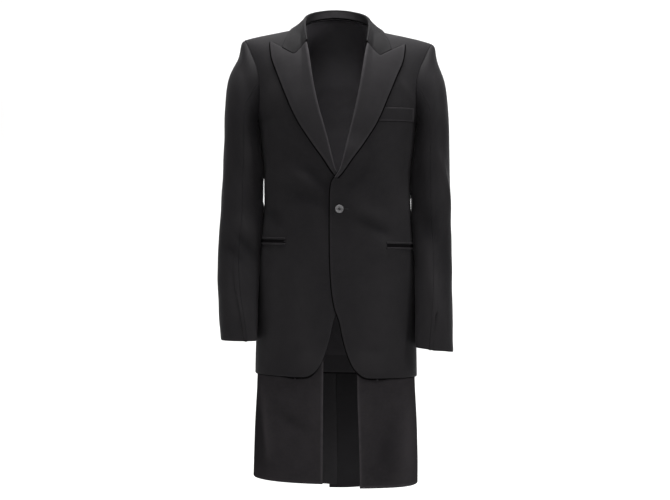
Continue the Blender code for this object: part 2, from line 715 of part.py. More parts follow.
def make_sleeve(word, side, front, back, table):
    outer, inner = sleeve_grids(side, front, back, table, "sleeve_" + word)
    count = outer.shape[1]
    front_seam = len(YOKE) - 1 - FRONT_SEAM_UP
    back_seam = count - BACK_SEAM_DOWN
    top = (back_seam - count, front_seam)
    under = (front_seam, back_seam)
    for name, (first, last) in (("sleeve_top_", top), ("sleeve_under_", under)):
        wall(name + word, nudged(outer, first, last), nudged(inner, first, last), WOOL)


# Lapels and collar

def skin_of(*grids):
    """A surface to measure from, made of outer grids."""
    points, faces = [], []
    for grid in grids:
        rows, columns = grid.shape[:2]
        at = len(points) + np.arange(rows * columns).reshape(rows, columns)
        points += [tuple(p) for p in grid.reshape(-1, 3)]
        faces += triangles(grid, at)
    return BVHTree.FromPolygons(points, faces)


def outward_at(spot, n):
    rough = away_from_middle(spot)
    n = np.array(n)
    return n if n @ rough > 0 else -n


def front_spot(skin, side, x, z):
    """The point and the direction of a front seen straight from before it."""
    spot, n = skin.ray_cast(Vector((side * x, -1, z)), Vector((0, 1, 0)))[:2]
    if spot is None:
        near = Vector((side * x, -float(form_depth("front", x, z)), z))
        spot, n = skin.find_nearest(near)[:2]
    point = np.array([side * x, spot.y, z])
    return point, outward_at(point, n)


def on_front(skin, side, flat, lift):
    """Points over a front, moved out by the lift and past the corners between them."""
    points, directions = np.zeros((*flat.shape[:-1], 3)), np.zeros((*flat.shape[:-1], 3))
    for i in np.ndindex(flat.shape[:-1]):
        points[i], directions[i] = front_spot(skin, side, *flat[i])
    more = np.zeros(flat.shape[:-1])
    for step in ((1, 0), (0, 1), (1, 1), (1, -1)):
        for i in np.ndindex(flat.shape[:-1]):
            j = (i[0] + step[0], i[1] + step[1])
            if j[0] >= flat.shape[0] or not 0 <= j[1] < flat.shape[1]:
                continue
            middle, _ = front_spot(skin, side, *((flat[i] + flat[j]) / 2))
            needed = (points[i][1] + points[j][1]) / 2 - middle[1]
            more[i], more[j] = max(more[i], needed), max(more[j], needed)
    return points + directions * (lift + more)[..., None], directions


def gorge_line(count):
    """The gorge seam from the roll to the notch, in front view."""
    start = np.array([YOKE[GORGE_ROW].neck, GORGE_Z])
    t = np.linspace(0, 1, count)[:, None]
    return start + (np.array([NOTCH_X, NOTCH_Z]) - start) * t


def roll_x(z):
    """The roll line's x at a height, from the break to the gorge."""
    heights = [e.height for e in FRONT_EDGE if e.height >= BREAK_Z]
    reach = [e.reach for e in FRONT_EDGE if e.height >= BREAK_Z]
    for y in YOKE[1 : GORGE_ROW + 1]:
        up = math.sin(y.rise * math.pi / 2)
        heights.append(float(CHEST_Z + (shoulder_z("front", y.neck) - CHEST_Z) * up))
        reach.append(y.neck)
    return smooth(heights, reach, z)


def lapel_stand_off(r, share):
    """How far a lapel stands off the front, by its height and its width."""
    return LAPEL_STAND_OFF * ease(r, *STAND_OFF_UP) * ease(share, *STAND_OFF_OUT)


def make_lapel(word, side, front):
    steps = GORGE_STEPS + PEAK_STEPS
    gorge = gorge_line(GORGE_STEPS + 1)
    t = np.linspace(0, 1, PEAK_STEPS + 1)[1:, None]
    peak = gorge[-1] + (np.array([PEAK_X, PEAK_Z]) - gorge[-1]) * t
    top = np.concatenate([gorge, peak])
    share = np.linspace(0, 1, steps + 1)
    chord = top[0] + (top[-1] - top[0]) * share[:, None]
    climb = np.linspace(LAPEL_START, 1, LAPEL_ROWS)
    rows = []
    for r in climb:
        roll_z = BREAK_Z + (top[0, 1] - BREAK_Z) * r
        edge_z = BREAK_Z + (PEAK_Z - BREAK_Z) * r
        start = np.array([float(roll_x(roll_z)) - LAPEL_TUCK, roll_z])
        edge = np.array([float(column(LAPEL_EDGE, "height", "reach", edge_z)), edge_z])
        line = start + (edge - start) * share[:, None]
        rows.append(line + (top - chord) * r**LAPEL_TOP_POWER)
    flat = np.array(rows)
    lift = LAPEL_GAP + JACKET_WALL + lapel_stand_off(climb[:, None], share[None, :])
    outer, _ = on_front(skin_of(front), side, flat, lift)
    n = normals(outer, away_from_middle(outer))
    wall("lapel_" + word, outer, outer - n * JACKET_WALL, LAPEL_WOOL)


def kept_clear(skin, point, lift):
    """The point, moved off the skin where it is nearer than its lift."""
    spot, n = (np.array(v) for v in skin.find_nearest(Vector(point))[:2])
    n = outward_at(spot, n)
    if (point - spot) @ n > 0 and np.linalg.norm(point - spot) >= lift:
        return point
    return spot + n * lift


def laid_on(skin, x, y, lift):
    """A point on the skin straight under x and y, lifted off it."""
    above = Vector((max(x, 2 * SEAM), y, 1))
    spot, n = (np.array(v) for v in skin.ray_cast(above, Vector((0, 0, -1)))[:2])
    return (spot + outward_at(spot, n) * lift) * np.array([x > 0, 1, 1])


def neck_seam(front, back):
    """The seam that the stand rises from, at even steps from the gorge to the back."""
    front_part = front[len(FRONT_HEIGHTS) + GORGE_ROW:, 0]
    back_part = back[-1, NECK_COLUMNS::-1].copy()
    back_part[-1, 0] = 0
    return spread(np.concatenate([front_part, back_part[1:]]), len(COLLAR))


def collar_row(skin, station, seam, lift):
    """One row of the collar from the neck seam over the roll to the free edge."""
    roll = np.array([station.roll_x, station.roll_y, station.roll_z])
    fall = laid_on(skin, station.fall_x, station.fall_y, lift)
    foot = seam + np.array([0, 0, STAND_SEAT])
    radius = min(ROLL_RADIUS, max(roll[2] - foot[2], LEAST_STAND) * ROLL_SHARE)
    level = unit((fall - seam) * np.array([1, 1, 0]))
    neck = roll - np.array([0, 0, radius])
    points = [foot + (neck - foot) * i / STAND_STEPS for i in range(STAND_STEPS)]
    for i in range(ROLL_STEPS + 1):
        turn = math.pi * i / ROLL_STEPS
        out = level * radius * (1 - math.cos(turn))
        points.append(neck + out + np.array([0, 0, radius * math.sin(turn)]))
    start = points[-1]
    steps = GORGE_STEPS + TIP_STEPS
    for i in range(1, steps + 1):
        points.append(kept_clear(skin, start + (fall - start) * i / steps, lift))
    return np.array(points)


def collar_end(skin):
    """The collar's end: along the gorge seam to the notch, then to the tip."""
    gorge = gorge_line(GORGE_STEPS + 1)[1:]
    t = np.linspace(0, 1, TIP_STEPS + 1)[1:, None]
    tip = gorge[-1] + (np.array([COLLAR_TIP_X, COLLAR_TIP_Z]) - gorge[-1]) * t
    flat = np.concatenate([gorge, tip])
    share = np.arange(1, len(flat) + 1) / (GORGE_STEPS + PEAK_STEPS)
    lift = LAPEL_GAP + JACKET_WALL / 2 + lapel_stand_off(1.0, share)
    end, _ = on_front(skin, 1, flat[None], lift[None])
    return end[0] + np.array([0, 0, 2 * SEAM])


def make_collar(front, back):
    skin = skin_of(front, back)
    lift = LAPEL_GAP + JACKET_WALL / 2 + COLLAR_STAND_OFF
    seam = neck_seam(front, back)
    rows = np.array([collar_row(skin, s, seam[k], lift) for k, s in enumerate(COLLAR)])
    first = STAND_STEPS + ROLL_STEPS + 1
    shift = collar_end(skin) - rows[0, first:]
    for k, station in enumerate(COLLAR):
        rows[k, first:] += shift * station.dip
    rows = between(rows)
    for k in range(1, len(rows)):
        for c in range(first, rows.shape[1]):
            rows[k, c] = kept_clear(skin, rows[k, c], lift)
    middle = np.concatenate([rows, mirrored(rows[:-1][::-1], -1)])
    n = normals(middle, collar_out(middle))
    wall("collar", middle + n * JACKET_WALL / 2, middle - n * JACKET_WALL / 2, LAPEL_WOOL)


def between(rows):
    """The same rows with one more between each two, on smooth curves."""
    known = np.arange(len(rows), dtype=float)
    at = np.linspace(0, len(rows) - 1, 2 * len(rows) - 1)
    fine = np.zeros((len(at), *rows.shape[1:]))
    for c in range(rows.shape[1]):
        for k in range(3):
            fine[:, c, k] = smooth(known, rows[:, c, k], at)
    return fine


def collar_out(grid):
    """Outward directions: to the neck on the stand, up over the roll, then outwards."""
    level = unit(grid * np.array([1, 1, 0]) + np.array([0, 1e-6, 0]))
    out = level * 0.5 + np.array([0, 0, 1.0])
    for c in range(STAND_STEPS + ROLL_STEPS + 1):
        turn = math.pi * max(c - STAND_STEPS, 0) / ROLL_STEPS
        out[:, c] = -level[:, c] * math.cos(turn) + np.array([0, 0, math.sin(turn)])
    return unit(out)


# Lining and skirt layer

def layer_offset(z):
    """How far inside the jacket's outer face the skirt layer's outer face lies."""
    return JACKET_WALL + 2 * SEAM + SKIRT_INSET * ease(-z, -JOIN_Z, -SKIRT_INSET_Z)


def lining_offset(z):
    """The lining lies on the back, then goes inside the skirt layer's lap."""
    inside = 2 * SKIRT_WALL + 4 * SEAM + SKIRT_INSET
    return JACKET_WALL + SEAM + inside * ease(-z, -JOIN_Z - LINING_STEP, -JOIN_Z)


def make_lining():
    half = back_form()
    whole = np.concatenate([mirrored(half, -1)[:, :0:-1], half], axis=1)
    n = normals(whole, away_from_middle(whole))
    lift = fold_depth("back", whole) - lining_offset(whole[..., 2])
    outer = whole + n * lift[..., None]
    wall("back_lining", outer, outer - n * LINING_WALL, LINING)


def skirt_start(side, z):
    """Where a skirt front's straight edge runs, from the middle."""
    if side < 0:
        return SKIRT_START_RIGHT
    return SKIRT_START_LEFT + SKIRT_SPREAD_LEFT * float(ease(-z, *SKIRT_SLANT))


def skirt_grid(face, side):
    hem = SKIRT_HEM_Z - side * SKIRT_HEM_TILT
    rows = []
    for z in np.linspace(hem, JOIN_Z, SKIRT_ROWS):
        start = skirt_start(side, z) if face == "front" else 0.0
        rows.append(ring_row(face, z, start, SKIRT_COLUMNS))
    grid = np.array(rows)
    if face == "back":
        middle = (1 - (grid[..., 0] / FORM[0].half) ** 2).clip(0, 1)
        grid[..., 2] -= SKIRT_BACK_DIP * middle * (1 - ease(grid[..., 2], hem, SKIRT_DIP_TOP))
    grid = mirrored(grid, side)
    n = normals(grid, away_from_middle(grid))
    n[:, -1, 1] = 0
    n = unit(n)
    lift = fold_depth("skirt_" + face, grid) * ease(-grid[..., 2], *SKIRT_FREE)
    outer = grid + n * (lift - layer_offset(grid[..., 2]))[..., None]
    return outer, n


def make_skirt():
    for word, side in (("left", 1), ("right", -1)):
        outer, n = skirt_grid("front", side)
        wall("skirt_front_" + word, outer, outer - n * SKIRT_WALL, SKIRT_WOOL)
        outer, n = skirt_grid("back", side)
        n[:, 0] = (0, 1, 0)
        if side > 0:
            outer[:, 0, 0] -= VENT_LAP
        else:
            near = 1 - ease(np.abs(outer[..., 0]), 2 * VENT_LAP, 5 * VENT_LAP)
            outer = outer - n * (near * (SKIRT_WALL + 2 * SEAM))[..., None]
            outer[:, 0, 0] += VENT_SLANT * ease(-outer[:, 0, 2], *VENT_SLANT_FROM)
        wall("skirt_back_" + word, outer, outer - n * SKIRT_WALL, SKIRT_WOOL)


# Pockets and the button

def along_front(z, x_start, length, count):
    """Points on the front at one height, from x_start round towards the side."""
    row = ring_row("front", z, x_start, 200)
    run = np.concatenate([[0], np.cumsum(np.linalg.norm(np.diff(row, axis=0), axis=1))])
    at = np.linspace(0, min(length, run[-1] - SIDE_CLEAR), count)
    return np.stack([np.interp(at, run, row[:, k]) for k in range(3)], -1)


def make_jet(name, pocket, low_z, high_z):
    """A narrow strip sewn on a front along one side of a hip pocket's slit."""
    heights = np.linspace(low_z, high_z, JET_ROWS)
    grid = np.array([
        along_front(z, pocket.start, HIP_POCKET_LENGTH, JET_COLUMNS) for z in heights])
    grid = mirrored(grid, pocket.side)
    n = normals(grid, away_from_middle(grid))
    lift = 2 * SEAM + JET_WALL + fold_depth("front", grid)
    outer = grid + n * lift[..., None]
    wall(name, outer, outer - n * JET_WALL, WOOL)


def make_pockets(fronts):
    for p in HIP_POCKETS:
        low, high = p.height - JET_GAP / 2, p.height + JET_GAP / 2
        make_jet("jet_lower_" + p.word, p, low - JET_HEIGHT, low)
        make_jet("jet_upper_" + p.word, p, high, high + JET_HEIGHT)
    t = np.linspace(0, 1, WELT_COLUMNS)
    rows = []
    for share in np.linspace(0, 1, WELT_ROWS):
        x = WELT_START_X + (WELT_END_X - WELT_START_X) * t
        z = WELT_LOW_Z + WELT_HEIGHT * share + WELT_RISE * t
        rows.append(np.stack([x, z], -1))
    outer, _ = on_front(skin_of(fronts["left"]), 1, np.array(rows), 2 * SEAM + WELT_WALL)
    n = normals(outer, away_from_middle(outer))
    wall("chest_welt", outer, outer - n * WELT_WALL, WOOL)


def lathe(name, profile, steps, stuff):
    """A turned solid about -Y from (radius, depth) pairs, closed at both ends."""
    points, faces = [], []
    for radius, depth in profile:
        for i in range(steps):
            a = 2 * math.pi * i / steps
            points.append((radius * math.cos(a), -depth, radius * math.sin(a)))
    for r in range(len(profile) - 1):
        for i in range(steps):
            j = (i + 1) % steps
            faces.append((r * steps + i, r * steps + j, (r + 1) * steps + j, (r + 1) * steps + i))
    faces.append(tuple(reversed(range(steps))))
    last = (len(profile) - 1) * steps
    faces.append(tuple(range(last, last + steps)))
    made = solid(name, np.array(points), faces, stuff)
    if volume(np.array(points), faces) < 0:
        made.data.flip_normals()
    return made


def make_button(front):
    """A four-hole button with a raised rim, sewn flat on the left front's lap."""
    edge = BUTTON_RADIUS
    profile = (
        (edge * 0.80, 0.0), (edge * 0.97, BUTTON_FOOT), (edge, BUTTON_THICK * 0.55),
        (edge * 0.95, BUTTON_THICK), (edge * 0.80, BUTTON_THICK),
        (edge * 0.66, BUTTON_THICK - BUTTON_DISH),
    )
    button = lathe("button", profile, BUTTON_SIDES, HORN)
    bore = (
        (BUTTON_HOLE_RADIUS, -CUTTER_SPARE),
        (BUTTON_HOLE_RADIUS, BUTTON_THICK + CUTTER_SPARE),
    )
    cutters = []
    for i in range(BUTTON_HOLES):
        a = math.pi / 4 + i * 2 * math.pi / BUTTON_HOLES
        cutter = lathe("button_hole_%d" % i, bore, BUTTON_HOLE_SIDES, HORN)
        cutter.location = (BUTTON_HOLE_REACH * math.cos(a), 0, BUTTON_HOLE_REACH * math.sin(a))
        cutter.hide_render = True
        cutter.display_type = "WIRE"
        cutters.append(cutter)
    seat, n = front_spot(skin_of(front), 1, BUTTON_X, BUTTON_Z)
    seat = seat + n * BUTTON_SEAT
    seat = hang(seat)
    empty = bpy.data.objects.new("button_place", None)
    bpy.context.scene.collection.objects.link(empty)
    empty.location = seat
    empty.rotation_euler = (math.atan2(-n[2], -n[1]), 0, math.atan2(n[0], -n[1]))
    for piece in [button, *cutters]:
        piece.parent = empty
    for cutter in cutters:
        cut = button.modifiers.new(cutter.name, "BOOLEAN")
        cut.operation = "DIFFERENCE"
        cut.solver = "EXACT"
        cut.object = cutter


def make_coat():
    fronts, backs = {}, {}
    for word, side in (("left", 1), ("right", -1)):
        outer, inner = front_grid(side)
        wall("jacket_front_" + word, outer, inner, WOOL)
        fronts[word] = outer
        outer, inner = back_grid(side)
        wall("jacket_back_" + word, outer, inner, WOOL)
        backs[word] = outer
        make_lapel(word, side, fronts[word])
    make_sleeve("left", 1, fronts["left"], backs["left"], LEFT_SLEEVE)
    make_sleeve("right", -1, fronts["right"], backs["right"], RIGHT_SLEEVE)
    make_collar(fronts["left"], backs["left"])
    make_lining()
    make_skirt()
    make_pockets(fronts)
    make_button(fronts["left"])


make_coat()
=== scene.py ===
import math
from functools import partial

import bmesh
import bpy
import numpy as np
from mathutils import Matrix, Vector
from mathutils.bvhtree import BVHTree


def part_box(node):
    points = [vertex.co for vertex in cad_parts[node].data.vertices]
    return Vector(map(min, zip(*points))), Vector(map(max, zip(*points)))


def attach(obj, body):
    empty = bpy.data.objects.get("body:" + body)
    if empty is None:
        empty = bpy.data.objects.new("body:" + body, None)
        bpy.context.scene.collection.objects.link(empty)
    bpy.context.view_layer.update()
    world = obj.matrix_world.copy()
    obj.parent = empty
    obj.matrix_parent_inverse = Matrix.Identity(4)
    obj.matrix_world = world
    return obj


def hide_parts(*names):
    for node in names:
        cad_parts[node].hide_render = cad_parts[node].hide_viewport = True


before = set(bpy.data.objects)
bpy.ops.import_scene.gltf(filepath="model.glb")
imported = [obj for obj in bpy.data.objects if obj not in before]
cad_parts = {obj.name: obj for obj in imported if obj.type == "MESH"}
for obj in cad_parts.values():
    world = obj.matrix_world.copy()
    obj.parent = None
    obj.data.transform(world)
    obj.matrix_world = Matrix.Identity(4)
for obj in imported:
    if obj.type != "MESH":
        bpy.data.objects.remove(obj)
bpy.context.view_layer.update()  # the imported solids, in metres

# Everything here is in metres. The front faces -Y and the wearer's left is +X.

coat = {
    "wall": 0.0020,          # thickness of the jacket's panels
    "skirtWall": 0.0015,
    "liningWall": 0.0010,
    "seam": 0.0003,          # half of it is left at each side of a seam
    "cell": 0.0072,          # size of a cell of cloth before it is smoothed
    "neckHalf": 0.075,
    "neckSideZ": 0.008,
    "shoulderHalf": 0.2065,
    "shoulderSlope": 0.20,
    "padStart": 0.165,
    "padDrop": 0.0025,
    "frontNeckRise": 0.073,
    "chestZ": -0.205,
    "formPower": 2.4,
    "frontCurve": 2.0,
    "backCurve": 2.2,
    "upperHalf": 0.2175,
    "hemZ": -0.748,
    "backHemDip": 0.007,
    "breakZ": -0.334,
    "lapLift": 0.0025,
    "lapLiftBreak": 0.0060,
    "lapOut": 0.070,
    "sideDrop": 0.020,       # the wearer's left hangs lower
    "sideLean": 0.0065,
    "leanHeight": -0.45,
    "neckShift": 0.0030,
    "neckReach": (0.10, 0.20),     # the neck's shift fades out this far from the middle
    "neckBand": (-0.28, -0.12),    # and comes in between these heights
    "outwardY": 1.4,               # outward points more fore and aft than sideways
    "outwardTop": 0.10,            # and upwards at the shoulders
}

form = {  # half width and depths of the form that the cloth hangs on, hem to chest
    "height": [-1.030, -0.870, -0.748, -0.650, -0.550, -0.460, -0.420, -0.378, -0.312, -0.257, -0.205],
    "half": [0.1865, 0.1830, 0.1775, 0.1758, 0.1740, 0.1695, 0.1650, 0.1604, 0.1612, 0.1675, 0.1740],
    "front": [0.128, 0.126, 0.122, 0.1195, 0.117, 0.1135, 0.1125, 0.1135, 0.1175, 0.1205, 0.122],
    "back": [0.131, 0.126, 0.121, 0.116, 0.108, 0.095, 0.090, 0.088, 0.094, 0.101, 0.105],
}

frontEdge = {  # the left front's edge: cutaway corner, lap, then the roll line
    "height": [-0.748, -0.7470, -0.7430, -0.7380, -0.7300, -0.7200, -0.7050, -0.6850, -0.6600, -0.6300,
               -0.6000, -0.5550, -0.4900, -0.4200, -0.3700, -0.3340, -0.3200, -0.3080, -0.2870, -0.2660,
               -0.2400, -0.2050],
    "reach": [0.0880, 0.0670, 0.0553, 0.0480, 0.0395, 0.0328, 0.0262, 0.0195, 0.0128, 0.0068,
              -0.0040, -0.0110, -0.0145, -0.0155, -0.0155, -0.0130, -0.0035, 0.0030, 0.0092, 0.0145,
              0.0207, 0.0297],
}

yoke = {  # rise 0 is the chest and 1 the shoulder seam
    "rise": [0.00, 0.05, 0.12, 0.22, 0.33, 0.44, 0.55, 0.67, 0.79, 0.90, 1.00],
    "neck": [0.0297, 0.0355, 0.0420, 0.0493, 0.0548, 0.0595, 0.0645, 0.0700, 0.0730, 0.0745, 0.0750],
    "armholeFront": [0.1740, 0.1712, 0.1692, 0.1680, 0.1700, 0.1765, 0.1858, 0.1940, 0.2000, 0.2045, 0.2065],
    "armholeBack": [0.1740, 0.1722, 0.1712, 0.1708, 0.1725, 0.1780, 0.1868, 0.1945, 0.2003, 0.2045, 0.2065],
    "bladeRise": 0.22,
    "gorgeRise": 0.55,
}

neck = {  # the neck seam behind the shoulders
    "half": [0.075, 0.0733, 0.0685, 0.0590, 0.0430, 0.0220, 0.0000],
    "back": [0.0000, 0.0130, 0.0270, 0.0410, 0.0530, 0.0602, 0.0620],
    "height": [0.008, 0.0150, 0.0222, 0.0292, 0.0350, 0.0398, 0.0415],
}


def smoothCurve(known, values, at):
    # a curve through a table that never overshoots it; values may be rows of points
    order = np.argsort(known)
    x = np.asarray(known, float)[order]
    y = np.asarray(values, float)[order]
    flat = y.reshape(len(x), -1)
    step = np.diff(x)[:, None]
    rise = np.diff(flat, axis=0) / step
    slope = np.zeros_like(flat)
    slope[0], slope[-1] = rise[0], rise[-1]
    before, after = rise[:-1], rise[1:]
    same = before * after > 0
    w0, w1 = 2 * step[1:] + step[:-1], step[1:] + 2 * step[:-1]
    mean = (w0 + w1) / (w0 / np.where(same, before, 1.0) + w1 / np.where(same, after, 1.0))
    slope[1:-1] = np.where(same, mean, 0.0)
    at = np.clip(np.asarray(at, float), x[0], x[-1])
    i = np.clip(np.searchsorted(x, at, side="right") - 1, 0, len(x) - 2)
    t = ((at - x[i]) / step[i, 0])[..., None]
    out = (flat[i] * (1 + 2 * t) * (1 - t) ** 2 + slope[i] * step[i] * t * (1 - t) ** 2
           + flat[i + 1] * t * t * (3 - 2 * t) + slope[i + 1] * step[i] * t * t * (t - 1))
    return out.reshape(at.shape + y.shape[1:])


def easeIn(value, low, high):
    t = np.clip((np.asarray(value, float) - low) / (high - low), 0.0, 1.0)
    return t * t * (3 - 2 * t)


def runAlong(points):
    return np.concatenate([[0], np.cumsum(np.linalg.norm(np.diff(points, axis=0), axis=1))])


def spreadPoints(points, count):
    points = np.asarray(points, float)
    run = runAlong(points)
    at = np.linspace(0, run[-1], count)
    return np.stack([np.interp(at, run, points[:, k]) for k in range(3)], axis=1)


def unitOf(v):
    return v / np.maximum(np.linalg.norm(v, axis=-1, keepdims=True), 1e-12)


def densify(control, count):
    # more rows between the rows of a control grid
    return smoothCurve(np.linspace(0, 1, len(control)), control, np.linspace(0, 1, count))


def superEllipse(share, power):
    return np.clip(1 - np.abs(share) ** power, 0, 1) ** (1 / power)


def napeRidge():
    # carries the back's surface up through the neck seam
    heights = []
    for half, back, height in zip(neck["half"], neck["back"], neck["height"]):
        deep = form["back"][-1] * superEllipse(half / coat["upperHalf"], coat["formPower"])
        share = float(superEllipse(back / deep, coat["backCurve"]))
        heights.append(coat["chestZ"] + (height - coat["chestZ"]) / share)
    return heights


nape = napeRidge()


def shoulderZ(face, x):
    x = np.abs(x)
    pad = np.clip((x - coat["padStart"]) / (coat["shoulderHalf"] - coat["padStart"]), 0, 1)
    outside = coat["neckSideZ"] - coat["shoulderSlope"] * (x - coat["neckHalf"]) - coat["padDrop"] * pad**2
    if face == "front":
        inside = coat["neckSideZ"] + coat["frontNeckRise"] * (1 - (x / coat["neckHalf"]) ** 2)
    else:
        inside = smoothCurve(neck["half"], nape, x)
    return np.where(x < coat["neckHalf"], inside, outside)


def formDepth(face, x, z):
    x, z = np.abs(np.asarray(x, float)), np.asarray(z, float)
    curve = coat["frontCurve"] if face == "front" else coat["backCurve"]
    rise = np.clip((z - coat["chestZ"]) / (shoulderZ(face, x) - coat["chestZ"]), 0, 1)
    half = smoothCurve(form["height"], form["half"], z) + (coat["upperHalf"] - form["half"][-1]) * rise
    middle = smoothCurve(form["height"], form[face], z)
    return middle * superEllipse(x / half, coat["formPower"]) * superEllipse(rise, curve)


def sideOf(face):
    return -1 if face == "front" else 1


def placeOn(face, x, z):
    y = sideOf(face) * (formDepth(face, x, z) + coat["seam"] / 2)
    return np.stack([np.broadcast_to(x, np.shape(y)), y, np.broadcast_to(z, np.shape(y))], -1)


def ringRow(face, z, start, count, dense=240):
    half = float(smoothCurve(form["height"], form["half"], z))
    x = half * np.sin(np.linspace(math.asin(start / half), math.pi / 2, dense))
    return spreadPoints(placeOn(face, x, np.full(dense, z)), count)


def yokeRow(face, rise, start, end, count, dense=240):
    curve = coat["frontCurve"] if face == "front" else coat["backCurve"]
    angle = rise * math.pi / 2
    reach = (math.cos(angle) ** curve + math.sin(angle) ** curve) ** (-1 / curve)
    up, out = reach * math.sin(angle), reach * math.cos(angle)
    half = form["half"][-1] + (coat["upperHalf"] - form["half"][-1]) * up
    x = half * np.sin(np.linspace(math.asin(start / half), math.asin(min(end / half, 1)), dense))
    z = coat["chestZ"] + (shoulderZ(face, x) - coat["chestZ"]) * up
    y = form[face][-1] * superEllipse(x / half, coat["formPower"]) * out
    return spreadPoints(np.stack([x, sideOf(face) * (y + coat["seam"] / 2), z], -1), count)


def gridNormals(grid, outward):
    n = unitOf(np.cross(np.gradient(grid, axis=1), np.gradient(grid, axis=0)))
    return n * np.where((n * outward).sum(-1, keepdims=True) < 0, -1, 1)


def awayFromMiddle(grid):
    out = grid * np.array([1.0, coat["outwardY"], 0.0])
    out[..., 2] = coat["outwardTop"] * easeIn(grid[..., 2], -0.10, 0.0)
    return unitOf(out)


def mirrorX(grid, side):
    return grid * np.array([side, 1.0, 1.0])


def hang(points):
    # the coat hangs lower on its left and leans that way, its neck less so
    points = np.array(points, float)
    near = 1 - easeIn(np.abs(points[..., 0]), *coat["neckReach"])
    points[..., 0] -= coat["neckShift"] * near * easeIn(points[..., 2], *coat["neckBand"])
    points[..., 0] += coat["sideLean"] * (points[..., 2] - coat["leanHeight"])
    points[..., 2] -= coat["sideDrop"] * points[..., 0]
    return points


